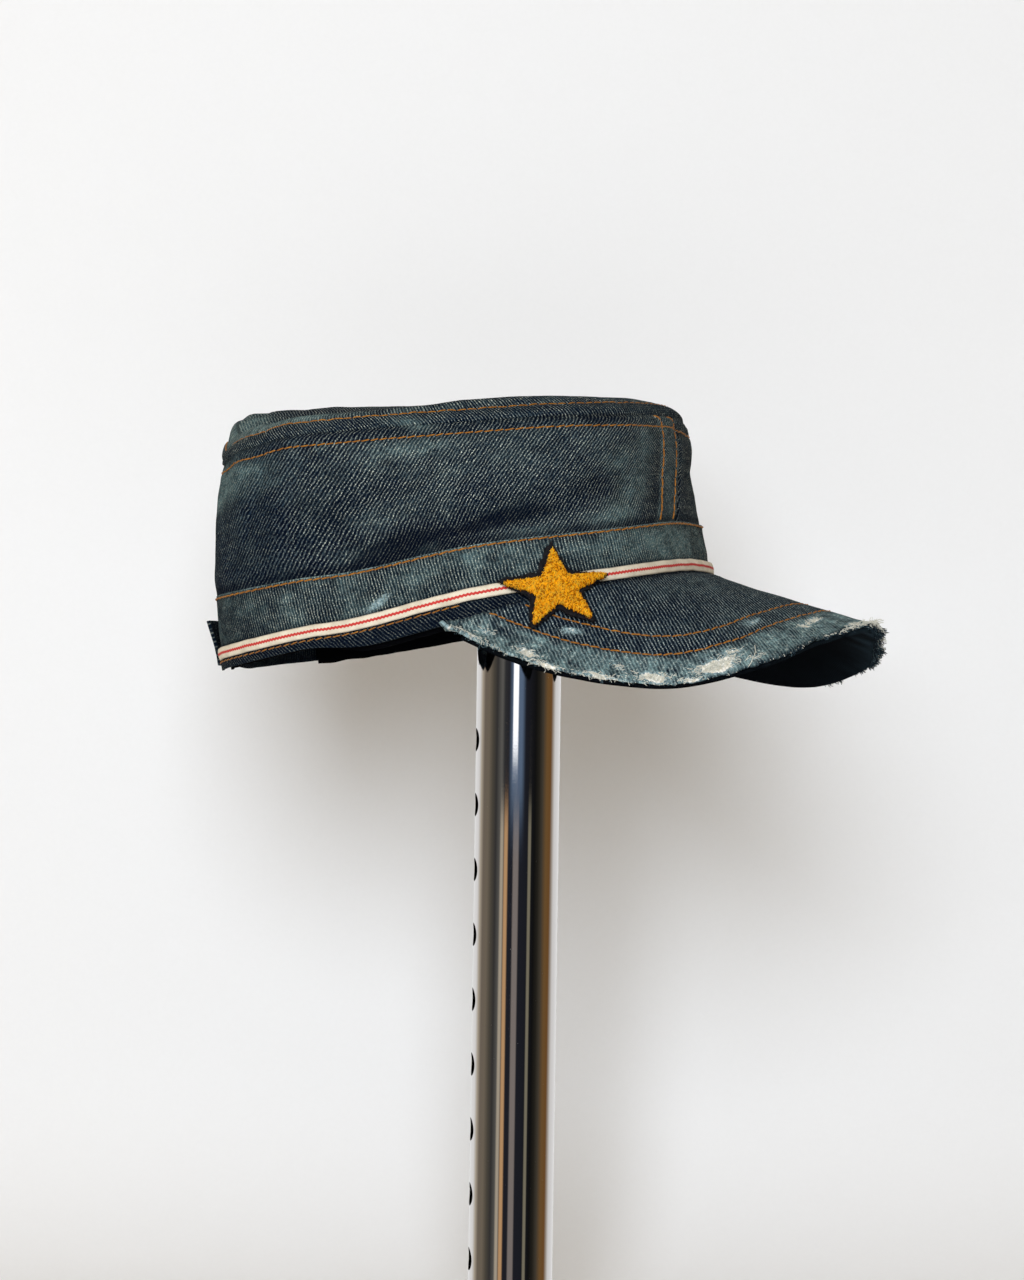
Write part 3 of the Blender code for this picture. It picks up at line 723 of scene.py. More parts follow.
def roofPlace(along, up):
    hem = max(0, 1 - up / crown["hem"])
    place = max(0, (up - crown["hem"]) / (1 - crown["hem"])) * (len(roofRings) - 1)
    ring = smoothRow(roofRings, place)
    if up > 0.999:
        ring = roofRings[-1]
    bearing = math.tau * along - math.pi
    degrees = math.degrees(bearing)
    aback = apart(degrees, backCorner)
    inset = crown["tuck"] * smoothStep(hem, 0, 0.5) + crown["roll"] * bell(place, 0.12)
    inset += drawnIn(degrees) * (1 - smoothStep(place, 3.4, 5))
    point = ringPoint(ring, bearing, inset)
    point.z -= 3.0 * hem
    arc = arcAt(degrees)
    inner = smoothStep(place, 2.2, 3.4) * (1 - smoothStep(place, 5.4, 6.0))
    groove = bell(place - 2, 0.28) * (1 + 1.1 * ripple(arc, 0, 7.5, 3.4))
    pucker = ripple(arc, 0, 4.4, 4.5) * bell(place - 2, 1.0)
    lift = 0.30 * pucker - 0.45 * groove + 0.35 * smoothStep(place, 0, 1) * (1 - smoothStep(place, 1.7, 2.3))
    lift += inner * (0.9 * ripple(point.x, point.y, 2.2, 26) + 0.3 * ripple(point.x, point.y, 8.8, 9))
    puff = 3.4 * bell(aback - 7, 34) + 4.2 * bell(aback + 10, 17) - 1.4 * bell(degrees - 12, 20)
    puff += 2.1 * bell(degrees + 50, 34)
    lift += puff * smoothStep(place, 2.1, 3.1) * smoothStep(place, 5.2, 3.6)
    wear = 0.9 * bell(arc - arcAt(-77), 6) * bell(place - 0.5, 0.7) + 0.05 * bell(place - 1, 0.5)
    wear += 0.45 * bell(place - 2.6, 0.5) * max(0, ripple(arc, 3, 2, 11) + 0.35)
    wear += 2.4 * bell(degrees + 152, 20) * bell(place - 2.8, 0.8)
    wear += 1.2 * bell(degrees + 125, 24) * bell(place - 3, 1)
    # Painted shade in and beside the seam with the wall
    dark = 0.1 * bell(place, 0.18) + 0.32 * bell(place - 1, 0.8)
    lean = min(1, place / 2)
    out = ringOutward(roofRings[2], bearing)
    point = point + (out * (1 - lean) + Vector((0, 0, 1)) * lean) * lift
    point.z -= 0.35 * bell(place, 0.25)
    if place < 3:
        flat = (arc, 77 + place * 3)
    else:
        flat = (point.x, point.y)
    return Spot(point, *flat, wear, dark=dark)


rightWall, leftWall = wallPlace(-1), wallPlace(1)
makeCloth("crown_right_panel", "crown_right", (280, 78), rightWall, crown["wall"], crownDenim)
makeCloth("crown_left_panel", "crown_left", (280, 78), leftWall, crown["wall"], crownDenim)
makeCloth("crown_roof", "crown_top", (300, 60), roofPlace, crown["wall"], roofDenim, closed=True)
print("crown made")

# Band, sweatband, tape and the strip below it
rim = {
    "bandWall": 1.5,
    "tapeWall": 0.9,
    "tape": (6.7, 11.3),
    "strip": (0.0, 6.4),
    "stripTrim": 2.8,
    "stripRow": 5.75,
    "sweatTrim": 4.4,
    "bandTrim": 4.2,
    "sweat": (-1.8, 20.0),
    "sweatWall": 1.1,
    "sweatEnd": 157.5,
    "rowHeight": 28.4,
}
bandFades = [
    Fade(-7, 19, 18, 8, 1.3), Fade(-28, 22, 12, 6, 0.7), Fade(-145, 22, 16, 4, 0.15),
    Fade(-60, 24, 24, 4, 0.40), Fade(60, 20, 30, 6, 0.4), Fade(130, 18, 24, 6, 0.3),
]
bluePatch = {"bearing": -90.0, "height": 14.5, "slope": 0.45, "reach": 5.4, "rise": 2.1}


# How much shorter the band, the strip and the sweatband are at the near back
def trimmed(degrees):
    return smoothStep(-degrees, 92, 114) * (1 - smoothStep(-degrees, 164, 176))


def bandPlace(along, up):
    ring = smoothRow(bandRings, min(2.0, 3 * up))
    if up > 2 / 3:
        ring = tuple(low + (high - low) * (3 * up - 2) for low, high in zip(bandRings[2], bandRings[3]))
    bearing = math.tau * along - math.pi
    degrees, height = math.degrees(bearing), ring[2]
    arc = arcAt(degrees)
    depth = 0.30 * ripple(arc, height, 6.6, 13) + 0.15 * ripple(arc, height, 2.6, 5)
    depth -= 0.18 * bell(height - rim["rowHeight"], 0.8) * (1 + 1.2 * ripple(arc, 0, 8.1, 3.3))
    depth -= 0.5 * bell(degrees + 23, 1.6) * smoothStep(height, 12, 18)
    depth -= 0.5 * smoothStep(up, 0.94, 1.0)
    depth -= 0.5 * bell(degrees + 150, 28) * smoothStep(height, 18, 28)
    depth -= 1.3 * bell(degrees - 22, 26) * smoothStep(height, 14, 28)
    depth *= smoothStep(height, 10, 13)
    point = ringPoint(ring, bearing) + ringOutward(ring, bearing) * depth
    point.z += rim["bandTrim"] * trimmed(degrees) * max(0, 1 - height / 10)
    wear = 0.14 + fadeAndShadeAt(bandFades, degrees, height)
    edge = smoothStep(height, 28.9, 29.3)
    pale = edge * (0.10 + 0.30 * ripple(arc, 0, 3, 6))
    slant = height - bluePatch["height"] - (arc - arcAt(bluePatch["bearing"])) * bluePatch["slope"]
    wear += 1.1 * bell(arc - arcAt(bluePatch["bearing"]), bluePatch["reach"]) * bell(slant, bluePatch["rise"])
    pale += 0.50 * bell(arc - arcAt(bluePatch["bearing"]), 4.8) * bell(slant, 1.7)
    # Painted shade along the tape's top edge, under the row of stitches, behind the tape and strip, and
    # towards the back, where the flecks are dimmed as well
    dark = 0.6 * bell(height - 11.6, 0.8) + 0.25 * bell(height - 27.6, 0.5) + 1.2 * smoothStep(height, 8, 6)
    aback = smoothStep(abs(degrees), 112, 140)
    return Spot(point, arc, height, wear + 0.9 * edge, pale, dark + 0.3 * aback, 0.6 * aback)


def hoopPlace(low, high, inset, trim=0.0):
    def place(along, up):
        bearing = math.radians(180 * (2 * along - 1))
        foot = low + trim * trimmed(math.degrees(bearing))
        height = foot + (high - foot) * up
        ring = rimEdge._replace(height=height)
        arc = arcAt(math.degrees(bearing))
        point = ringPoint(ring, bearing, inset)
        point += ringOutward(ring, bearing) * 0.18 * ripple(arc, height, 4.2, 8)
        edges = bell(up, 0.18) + bell(up - 1, 0.18)
        return Spot(point, arc, height, 0.1 * edges, dark=0.72)
    return place


def tapePlace(along, up):
    spot = hoopPlace(*rim["tape"], 0.0)(along, up)
    roll = ringOutward(rimEdge, math.radians(360 * along - 180)) * 0.35 * (2 * up - 1) ** 2
    wobble = Vector((0, 0, 0.18 * ripple(spot.across, 0, up * 0.3, 7)))
    return spot._replace(point=spot.point - roll + wobble)


def sweatPlace(along, up):
    half = rim["sweatEnd"]
    bearing = math.radians(half * (2 * along - 1))
    rows = (bandRings[1]._replace(height=rim["sweat"][0]), bandRings[1], Ring(*smoothRow(bandRings, 1.5)))
    ring = smoothRow(rows, 2 * up)
    arc = arcAt(math.degrees(bearing))
    point = ringPoint(ring, bearing, rim["bandWall"] + 0.55)
    point += ringOutward(rimEdge, bearing) * 0.12 * ripple(arc, up * 20, 4.2, 9)
    point.z += (0.5 * ripple(arc, 0, 7.2, 8) + rim["sweatTrim"] * trimmed(math.degrees(bearing))) * (1 - up)
    return Spot(point, arc, ring[2], 0.0)


stripPlace = hoopPlace(*rim["strip"], 0.3, rim["stripTrim"])
makeCloth("hat_band", "band", (360, 58), bandPlace, rim["bandWall"], bandDenim, closed=True)
makeCloth("tape_hoop", "selvedge_tape", (360, 6), tapePlace, rim["tapeWall"], creamTape,
          closed=True)
makeCloth("strip_hoop", "rim_strip", (320, 12), stripPlace, 0.9, stripDenim, closed=True)
makeCloth("sweat_hoop", "sweatband", (300, 12), sweatPlace, rim["sweatWall"], blackCotton)
print("band made")

# Peak: a ruled sheet from the rim to an outer edge, the denim above and a dark layer below
PeakSection = namedtuple("PeakSection", "share forward across height")
peakSections = [
    PeakSection(0.0, 163.0, 0.0, -26.8), PeakSection(0.2, 153.5, 34.5, -30.7),
    PeakSection(0.4, 139.5, 63.0, -37.5), PeakSection(0.6, 109.0, 80.5, -39.8),
    PeakSection(0.8, 66.0, 92.0, -24.6), PeakSection(1.0, 27.0, 83.0, 0.0),
]
peak = {
    "corner": 71.5,
    "rootHeight": 5.6,
    "twist": -0.042,
    "hollow": 2.5,
    "cloth": 1.3,
    "core": 1.7,
    "clear": 1.7,
    "underDepth": 2.0,
    "underStandOff": 2.4,
    "underSpan": 0.95,
    "underTrim": 1.0,
}
# Worn-through places by the edge: share round from the nose, share out, half length and width
Scar = namedtuple("Scar", "share out length width amount")
scars = [
    Scar(-0.975, 0.55, 2.2, 1.0, 0.5), Scar(-0.93, 0.90, 3.0, 1.0, 0.55), Scar(-0.89, 0.45, 3.2, 1.6, 0.36),
    Scar(-0.81, 0.79, 2.4, 3.6, 1.0), Scar(-0.785, 0.97, 3.2, 1.4, 1.0), Scar(-0.705, 0.96, 3.0, 1.8, 1.0),
    Scar(-0.655, 0.80, 1.2, 2.8, 0.55), Scar(-0.61, 0.92, 3.8, 3.0, 1.1), Scar(-0.555, 0.975, 2.6, 1.2, 0.8),
    Scar(-0.485, 0.91, 5.2, 2.9, 1.3), Scar(-0.455, 0.88, 4.6, 1.4, 0.9), Scar(-0.42, 0.83, 3.6, 1.3, 0.75),
    Scar(-0.40, 0.93, 3.0, 1.4, 0.5), Scar(-0.17, 0.84, 2.8, 1.2, 0.85), Scar(-0.12, 0.82, 4.0, 1.3, 0.8),
    Scar(-0.06, 0.965, 4.0, 1.1, 0.75), Scar(0.02, 0.975, 4.0, 1.0, 0.8), Scar(0.14, 0.95, 3.0, 1.3, 0.7),
    Scar(0.32, 0.93, 4.0, 2.0, 0.9), Scar(0.50, 0.95, 4.5, 1.5, 0.9), Scar(0.66, 0.93, 3.5, 2.2, 0.8),
    Scar(0.80, 0.96, 3.5, 1.4, 0.7),
]
blueScars = [
    Scar(-0.68, 0.39, 5.2, 1.7, 0.9), Scar(-0.27, 0.66, 5.0, 1.8, 0.85), Scar(0.4, 0.6, 4.5, 1.5, 0.7),
]
# Share out of the two rows of stitches, by share round from the nose
outerRow = ((0, 0.74), (0.45, 0.74), (0.51, 0.725), (0.56, 0.695), (0.60, 0.65), (0.64, 0.61), (0.68, 0.55),
            (0.72, 0.47), (0.76, 0.37), (0.80, 0.24), (0.83, 0.11), (0.86, 0.0))
innerRow = ((0, 0.60), (0.40, 0.60), (0.47, 0.58), (0.52, 0.535), (0.56, 0.475), (0.60, 0.40), (0.64, 0.32),
            (0.68, 0.23), (0.72, 0.12), (0.75, 0.0))

leftOutline = tuple(tuple(section[1:]) for section in peakSections)
peakOutline = tuple((x, -y, z) for x, y, z in leftOutline[:0:-1]) + leftOutline


def rowOut(row, share):
    return float(np.interp(abs(share), [pair[0] for pair in row], [pair[1] for pair in row]))


@lru_cache(maxsize=None)
def peakEdge(share):
    x, y, z = smoothRow(peakOutline, (share + 1) * (len(peakSections) - 1))
    return Vector((x, y, z + peak["twist"] * y))


def peakTop(share, out):
    bearing = math.radians(peak["corner"] * share)
    rise = peak["rootHeight"] * min(1, 2.2 * (1 - abs(share)))
    root = ringPoint(rimEdge._replace(height=rise), bearing, -peak["clear"])
    hollow = peak["hollow"] * share**2 * 4 * out * (1 - out)
    sunk = ringOutward(rimEdge, bearing) * 0.6 + Vector((0, 0, 0.8))
    return root.lerp(peakEdge(share), out) - sunk * hollow


peakArcs = np.cumsum([0] + [(peakEdge(k / 100 - 1) - peakEdge((k - 1) / 100 - 1)).length
                            for k in range(1, 201)])
peakArcs = peakArcs - peakArcs[100]
peakShares = np.linspace(-1, 1, 201)


@lru_cache(maxsize=None)
def peakArc(share):
    return float(np.interp(share, peakShares, peakArcs))


# The peak's cloth laid flat, ruling by ruling from the nose, so that its weave runs as it was cut
def meet(first, second, toFirst, toSecond, side):
    apart = (second - first).length
    along = (toFirst**2 - toSecond**2 + apart**2) / (2 * apart)
    aside = math.sqrt(max(toFirst**2 - along**2, 0))
    way = (second - first) / apart
    return first + way * along + Vector((way.y, -way.x)) * side * aside


def layFlat(side, steps=60):
    root, edge = peakTop(0, 0), peakTop(0, 1)
    flatRoot, flatEdge = Vector((0, 0)), Vector((0, (edge - root).length))
    laid = [(0.0, *flatRoot, *flatEdge)]
    for step in range(1, steps + 1):
        share = side * step / steps
        nextRoot, nextEdge = peakTop(share, 0), peakTop(share, 1)
        nextFlat = meet(flatRoot, flatEdge, (nextRoot - root).length, (nextRoot - edge).length, side)
        flatEdge = meet(nextFlat, flatEdge, (nextEdge - nextRoot).length, (nextEdge - edge).length, side)
        flatRoot, root, edge = nextFlat, nextRoot, nextEdge
        laid.append((share, *flatRoot, *flatEdge))
    return laid


peakFlat = np.array(layFlat(-1)[:0:-1] + layFlat(1))


@lru_cache(maxsize=None)
def flatRuling(share):
    return [float(np.interp(share, peakFlat[:, 0], peakFlat[:, k])) for k in range(1, 5)]


def scarAt(marks, share, out, length):
    total = 0.0
    arc = peakArc(share)
    warp = 1.3 * ripple(arc, out * length, 4.4, 3.1)
    twist = 1.3 * ripple(arc, out * length, 9.4, 2.7)
    for mark in marks:
        across = arc - peakArc(mark.share) + warp
        inward = (out - mark.out) * length + twist
        total += mark.amount * bell(across, mark.length) * bell(inward, mark.width)
    return total


def peakNormal(share, out, step):
    side = peakTop(max(share - step, -1), out) - peakTop(min(share + step, 1), out)
    ahead = peakTop(share, min(out + step, 1)) - peakTop(share, max(out - step, 0))
    return side.cross(ahead).normalized()


def peakPlace(along, out):
    share = 1 - 2 * along
    length = (peakEdge(share) - peakTop(share, 0)).length
    arc = peakArc(share)
    fromEdge = (1 - out) * length
    ragged = (0.5 + 0.8 * ripple(arc, 0, 5, 2.2) + 0.7 * ripple(arc, 0, 8, 7)) * smoothStep(fromEdge, 3, 0)
    out = out - max(0, ragged) / max(length, 6)
    scar = scarAt(scars, share, out, length)
    blue = scarAt(blueScars, share, out, length)
    rows = sum(bell((out - rowOut(row, share)) * length, 0.8) for row in (outerRow, innerRow))
    height = -0.35 * rows * (1 + 1.2 * ripple(arc, out * 30, 2.2, 3.2)) - 0.5 * min(1, scar)
    height += 0.25 * ripple(arc, out * length, 6.1, 11)
    height += 0.30 * ripple(arc, fromEdge, 1.1, 4) * bell(fromEdge, 9)
    height -= 0.6 * smoothStep(fromEdge, 1.2, 0) ** 2
    edge = smoothStep(length * (1 - rowOut(outerRow, share)) - fromEdge, -0.5, 5.5)
    wear = (1.10 - 0.70 * smoothStep(share, -0.66, -0.84)) * edge + 0.4 * bell(fromEdge - 4, 4)
    wear += 1.1 * ripple(arc, fromEdge * 2, 7.7, 10) * edge + blue + 0.11 * smoothStep(share, -0.45, -0.2)
    wear += 0.9 * smoothStep(abs(share), 0.80, 0.93)
    # Along the near front the turned edge is darkened, except where it is worn through
    turned = smoothStep(share, -0.66, -0.52) * (1 - smoothStep(share, -0.10, -0.02))
    reach = 0.7 + 1.1 * smoothStep(share, -0.5, -0.2)
    # Painted shade along the root, where the peak meets the rim
    shade = 0.5 * bell(out * length, 1.6)
    shade += 0.95 * turned * bell(fromEdge, reach) * (1 - min(1, 0.8 * scar))
    pale = 1.35 * scar + 0.70 * blue
    pale += 0.45 * (1 - turned) * bell(fromEdge, 1.0) * max(0, 0.5 + 1.2 * ripple(arc, 0, 2, 5))
    flat = flatRuling(share)
    flatAcross, flatAhead = (flat[k] + (flat[k + 2] - flat[k]) * out for k in (0, 1))
    point = peakTop(share, out) + peakNormal(share, out, 0.004) * height
    return Spot(point, flatAcross, flatAhead, wear, pale, shade, 0.25 * edge)


def underPlace(along, out):
    share = peak["underSpan"] * (1 - 2 * along)
    length = (peakTop(share, 1) - peakTop(share, 0)).to_2d().length
    out = peak["underStandOff"] / length + (1 - (peak["underTrim"] + peak["underStandOff"]) / length) * out
    here = peakTop(share, out)
    arc = peakArc(share)
    fromEdge = (1 - out) * length
    depth = peak["underDepth"] - 0.12 * ripple(arc, out * 40, 3.3, 6)
    point = here - peakNormal(share, out, 0.01) * depth
    wear = 0.9 * bell(fromEdge, 7) * bell(share - 0.1, 0.32) * (0.8 + ripple(arc, out * 40, 5.5, 7)) + 0.06
    return Spot(point, here.y, here.x, wear)


makeCloth("peak_top_cloth", "peak_upper", (320, 76), peakPlace, peak["cloth"], peakDenim)
makeCloth("peak_under_cloth", "peak_underside", (200, 40), underPlace, peak["core"], blackCotton)
print("peak made")

# Strap at the back
strap = {"half": 24.0, "bottom": 6.0, "top": 24.0, "wall": 1.3, "stand": 1.2, "clear": 0.3}


def strapPlace(along, up):
    degrees = 180 + strap["half"] * (2 * along - 1)
    bearing = math.radians(degrees)
    point = ringPoint(rimEdge, bearing)
    point.z = strap["bottom"] + (strap["top"] - strap["bottom"]) * up
    arc = bearing * meanRadius
    away = strap["clear"] + strap["wall"] + strap["stand"] * up**2 + 0.25 * ripple(arc, up * 19, 2, 6)
    point = point + ringOutward(rimEdge, bearing) * away
    edge = bell(up, 0.06) + bell(up - 1, 0.06) + bell(along, 0.02) + bell(along - 1, 0.02)
    return Spot(point, arc, point.z, 0.25 * edge, dark=0.75)


makeCloth("strap_cloth", "back_strap", (110, 34), strapPlace, strap["wall"], stripDenim)

# Stitches: length from one to the next, gap between them, thickness, slant
sewing = {"pitch": 3.8, "gap": 0.06, "thick": 0.60, "slant": 0.36, "drift": 0.22}
straight = np.linspace(0, 1, 420)


def stripUp(along):
    foot = rim["stripTrim"] * trimmed(360 * along - 180)
    return (rim["stripRow"] - foot) / (rim["strip"][1] - foot)


rows = {
    "crown_stitches": [(rightWall, [(a, 0.75) for a in straight]), (leftWall, [(a, 0.75) for a in straight])],
    "roof_stitches": [(roofPlace, [(a, roofShare(2)) for a in straight])],
    "band_stitches": [(bandPlace, [(a, 2 / 3) for a in straight])],
}
# The tape covers the strip's row above the peak
stripEnd = (180 - 67) / 360
rows["strip_stitches"] = [(stripPlace, [(a, stripUp(a)) for a in np.linspace(start, start + stripEnd, 160)])
                          for start in (0, 1 - stripEnd)]
seamSpan = 180 + crown["seam"] - crown["slit"] * 2
rows["seam_stitches"] = [
    (rightWall, [(1 - row / (seamSpan + 3), up) for up in np.linspace(0.24, 1.0, 60)])
    for row in reversed(seamRows)
]
rows["peak_stitches"] = []
for table, reach in ((outerRow, 0.85), (innerRow, 0.74)):
    route = [((1 - share) / 2, rowOut(table, share)) for share in np.linspace(-reach, reach, 300)]
    rows["peak_stitches"].append((peakPlace, route))
rows["strap_stitches"] = [(strapPlace, [(a, up) for a in np.linspace(0.03, 0.97, 60)]) for up in (0.12, 0.88)]
lifts = {"band_stitches": 0.12, "strip_stitches": -0.06, "crown_stitches": 0.06, "roof_stitches": 0.06,
         "peak_stitches": 0.06}
thicknesses = {"strip_stitches": 0.44, "roof_stitches": 0.5, "crown_stitches": 0.52}
for name, seams in rows.items():
    threads = []
    for place, route in seams:
        threads += stitchesAlong(place, route, sewing, lifts.get(name, 0.0))
    makeThreads(name, threads, thicknesses.get(name, sewing["thick"]), orangeThread)
print("stitches sewn")

# Star patch: a gold looped pile on a ragged felt backing, bent from the band onto the peak
star = {
    "bearing": -45.4,
    "height": 5.5,
    "bend": 7.3,
    "ease": 4.0,
    "lean": 0.75,
    "skew": 0.012,
    "tips": ((1.5, 16.2), (-18.4, 6.2), (-9.8, -13.2), (7.6, -14.8), (18.6, 1.6)),
    "waist": 0.47,
    "backingWaist": 0.62,
    "backingReach": 1.11,
    "backingShift": (-0.3, 0.7),
    "felt": 1.2,
    "pile": 2.2,
    "loops": 3600,
    "lurex": 0.30,              # share of the loops in metal yarn, paler as a painted highlight
    "shaded": 0.26,             # share of the loops in the darker copy of the gold, as painted shade
    "fringe": 1000,
    "blunt": 0.05,              # how far the points are rounded off
    "pileRagged": 0.35,
    "feltRagged": 0.85,
}


def starSpot(side, rise, lift):
    ring = rimEdge._replace(height=9)
    middle = math.radians(star["bearing"])
    bearing = middle + side / ringPoint(ring, middle).to_2d().length
    below = star["bend"] - star["height"] - rise
    slope = star["lean"] + star["skew"] * side
    lean = slope * (below + math.hypot(below, star["ease"])) / 2
    tilt = slope * (1 + below / math.hypot(below, star["ease"])) / 2
    outward = ringOutward(ring, bearing)
    normal = (outward + Vector((0, 0, tilt))).normalized()
    point = ringPoint(ring, bearing)
    point.z = star["height"] + rise
    return point + outward * lean + normal * lift, normal


def starCorners(reach, waist):
    tips = [Vector(tip) for tip in star["tips"]]
    corners = []
    for tip, following in zip(tips, tips[1:] + tips[:1]):
        corners += [tip * reach, (tip + following) / 2 * waist]
    return corners + corners[:1]


def starOutline(corners, along, ragged):
    index, t = divmod(along * (len(corners) - 1), 1)
    index = int(index) % (len(corners) - 1)
    flat = corners[index].lerp(corners[index + 1], t)
    straightLength = flat.length
    towardsTip = t if index % 2 == 0 else 1 - t
    wave = ripple(flat.x, flat.y, 3.3, 1.3) + 0.7 * ripple(flat.x, flat.y, 6.3, 3.1)
    if towardsTip < 0.5:
        flat = flat * (1 - star["blunt"] * bell(towardsTip, 0.12))
    return flat * (1 + ragged * wave / straightLength)


def starCloth(corners, ragged, low, high, fall):
    def place(along, inward):
        flat = starOutline(corners, along, ragged)
        fromEdge = flat.length * inward
        flat = flat * (1 - inward)
        lift = high - (high - low) * bell(fromEdge, fall) + 0.12 * ripple(flat.x, flat.y, 1, 2.5)
        point, normal = starSpot(flat.x, flat.y, lift)
        return Spot(point, flat.x, flat.y, 0.0, dark=bell(fromEdge, 0.6))
    return place


backingCorners = [corner + Vector(star["backingShift"])
                  for corner in starCorners(star["backingReach"], star["backingWaist"])]
pileCorners = starCorners(1.0, star["waist"])
feltTop = 0.3 + star["felt"]
pileTop = feltTop + 0.42 + star["pile"]
feltPlace = starCloth(backingCorners, star["feltRagged"], 1.2, feltTop, 0.8)
pilePlace = starCloth(pileCorners, star["pileRagged"], 2.6, pileTop - 0.5, 1.1)
makeCloth("star_felt", "star_backing", (260, 22), feltPlace, 1.15, blackFelt, closed=True)
# The pile's base is the darker copy of the gold: painted shade between the loops
makeCloth("star_pile_base", "star_pile", (220, 26), pilePlace, 1.9, goldPaintedShadeThread, closed=True)


loops, glints, shades = [], [], []
for count in range(star["loops"]):
    along, inward = random.random(), 1 - math.sqrt(random.random())
    flat = starOutline(pileCorners, along, star["pileRagged"]) * (1 - inward)
    heading = random.gauss(0.6, 0.9)
    span, high = random.uniform(0.6, 1.5), random.uniform(0.5, 1.25)
    base = pilePlace(along, inward).point
    loop = []
    for share, rise in ((-0.5, -0.25), (-0.42, 0.6), (0, 1.0), (0.42, 0.6), (0.5, -0.25)):
        side, up = flat.x + share * span * math.cos(heading), flat.y + share * span * math.sin(heading)
        foot = starSpot(flat.x, flat.y, 0)[0]
        place, normal = starSpot(side, up, 0)
        loop.append((ontoCap(base + (place - foot) + normal * rise * high), 1.0))
    kind = random.random()
    (glints if kind < star["lurex"] else shades if kind > 1 - star["shaded"] else loops).append(loop)
for name, threads, thick, finish in (("star_loops", loops, 0.31, goldThread),
                                     ("star_shades", shades, 0.34, goldPaintedShadeThread),
                                     ("star_glints", glints, 0.30, lurexPaintedHighlightThread)):
    makeThreads(name, threads, thick, finish, 0)

fringe = []
for count in range(star["fringe"]):
    along = random.random()
    flat = starOutline(backingCorners, along, star["feltRagged"])
    away = flat.normalized().lerp(Vector((random.uniform(-1, 1), random.uniform(-1, 1))), 0.45)
    reach = random.uniform(0.4, 1.7)
    fibre = []
    for share in (0, 0.4, 0.75, 1):
        spot = flat * 0.97 + away * reach * share
        lift = random.uniform(0.5, 1.3) if share == 0 else max(0.15, 0.9 + random.uniform(-0.6, 0.5) * share)
        fibre.append((ontoCap(starSpot(spot.x, spot.y, lift)[0]), 1 - 0.5 * share))
    fringe.append(fibre)
makeThreads("felt_fringe", fringe, 0.20, blackFelt, 0)
print("star made")

# Fray: thin threads at the peak's edge, over its bare places, and a few loose ones
fray = {
    "perScar": 46,
    "thin": 0.22,
    "step": 0.006,              # share of the edge between one tuft and the next
}
# How the fringe grows round the edge: share round from the nose, fibres of each colour
# for a millimetre of edge, and their length in millimetres
Fringe = namedtuple("Fringe", "share pale teal navy length")
fringes = (
    Fringe(-1.0, 2, 1, 0, 1.0), Fringe(-0.9, 3, 2, 0, 1.2), Fringe(-0.7, 2, 2, 0, 1.1),
    Fringe(-0.55, 1, 1, 2, 0.9), Fringe(-0.4, 0.4, 0.6, 4, 0.8), Fringe(-0.18, 0.8, 1, 8, 1.0),
    Fringe(-0.1, 6, 5, 14, 1.5),
    Fringe(-0.02, 9, 8, 22, 2.0), Fringe(0.05, 5, 9, 31, 2.2), Fringe(0.14, 6, 10, 32, 2.4),
    Fringe(0.22, 3, 9, 31, 2.2), Fringe(0.34, 5, 9, 26, 2.1), Fringe(0.42, 2, 6, 20, 1.9),
    Fringe(0.6, 3, 4, 8, 1.4), Fringe(0.8, 4, 3, 3, 1.2), Fringe(1.0, 2, 2, 0, 1.0),
)


def fibreFrom(point, ways, length, thick=1.0):
    fibre = [(ontoCap(point), thick)]
    for way in ways:
        point = point + way.normalized() * length / len(ways)
        fibre.append((ontoCap(point), thick))
    return fibre


def scatter(size):
    return Vector([random.gauss(0, size) for axis in range(3)])


pale, teal, navy = [], [], []
fringeShares = [row.share for row in fringes]
for share in np.arange(-0.98, 0.98, fray["step"]).tolist():
    step = peakArc(share + fray["step"]) - peakArc(share)
    reach = float(np.interp(share, fringeShares, [row.length for row in fringes]))
    ahead = (peakTop(share, 1) - peakTop(share, 0.97)).normalized()
    for kind, fibres in (("pale", pale), ("teal", teal), ("navy", navy)):
        thickness = float(np.interp(share, fringeShares, [getattr(row, kind) for row in fringes]))
        tuft = max(0.15, 1 + 1.6 * ripple(peakArc(share), 0, len(kind) + 3.3, 4))
        for count in range(int(abs(step) * thickness * tuft + random.random())):
            start, normal = surfaceAt(peakPlace, (1 - share - random.uniform(-0.003, 0.003)) / 2, 0.992)
            start = start - normal * (random.uniform(0, 1.0) if kind == "pale" else random.uniform(0.2, 2.2))
            first = ahead + normal * (0.3 if kind == "pale" else -0.1) + scatter(0.35)
            later = first + scatter(0.6) - Vector((0, 0, 0.2))
            ragged = max(0.3, 1 + 1.5 * ripple(peakArc(share), 0, 9.4, 2.6))
            fibres.append(fibreFrom(start, [first, first + scatter(0.3), later],
                                    reach * ragged * random.uniform(0.45, 1.3)))
for scar in scars:
    length = (peakEdge(scar.share) - peakTop(scar.share, 0)).length
    for count in range(int(fray["perScar"] * scar.amount * max(1, scar.length * scar.width / 5))):
        share = scar.share + random.gauss(0, 0.45) * scar.length / 95
        out = min(0.995, scar.out + random.gauss(0, 0.45) * scar.width / length)
        start, normal = surfaceAt(peakPlace, (1 - share) / 2, out)
        across = (peakTop(share + 0.01, out) - peakTop(share - 0.01, out)).normalized()
        across = across * random.choice((-1, 1)) + scatter(0.45)
        pale.append(fibreFrom(start + normal * 0.05, [across + normal * 0.6, across + scatter(0.3),
                                                      across - normal * 0.5], random.uniform(0.7, 2.0)))
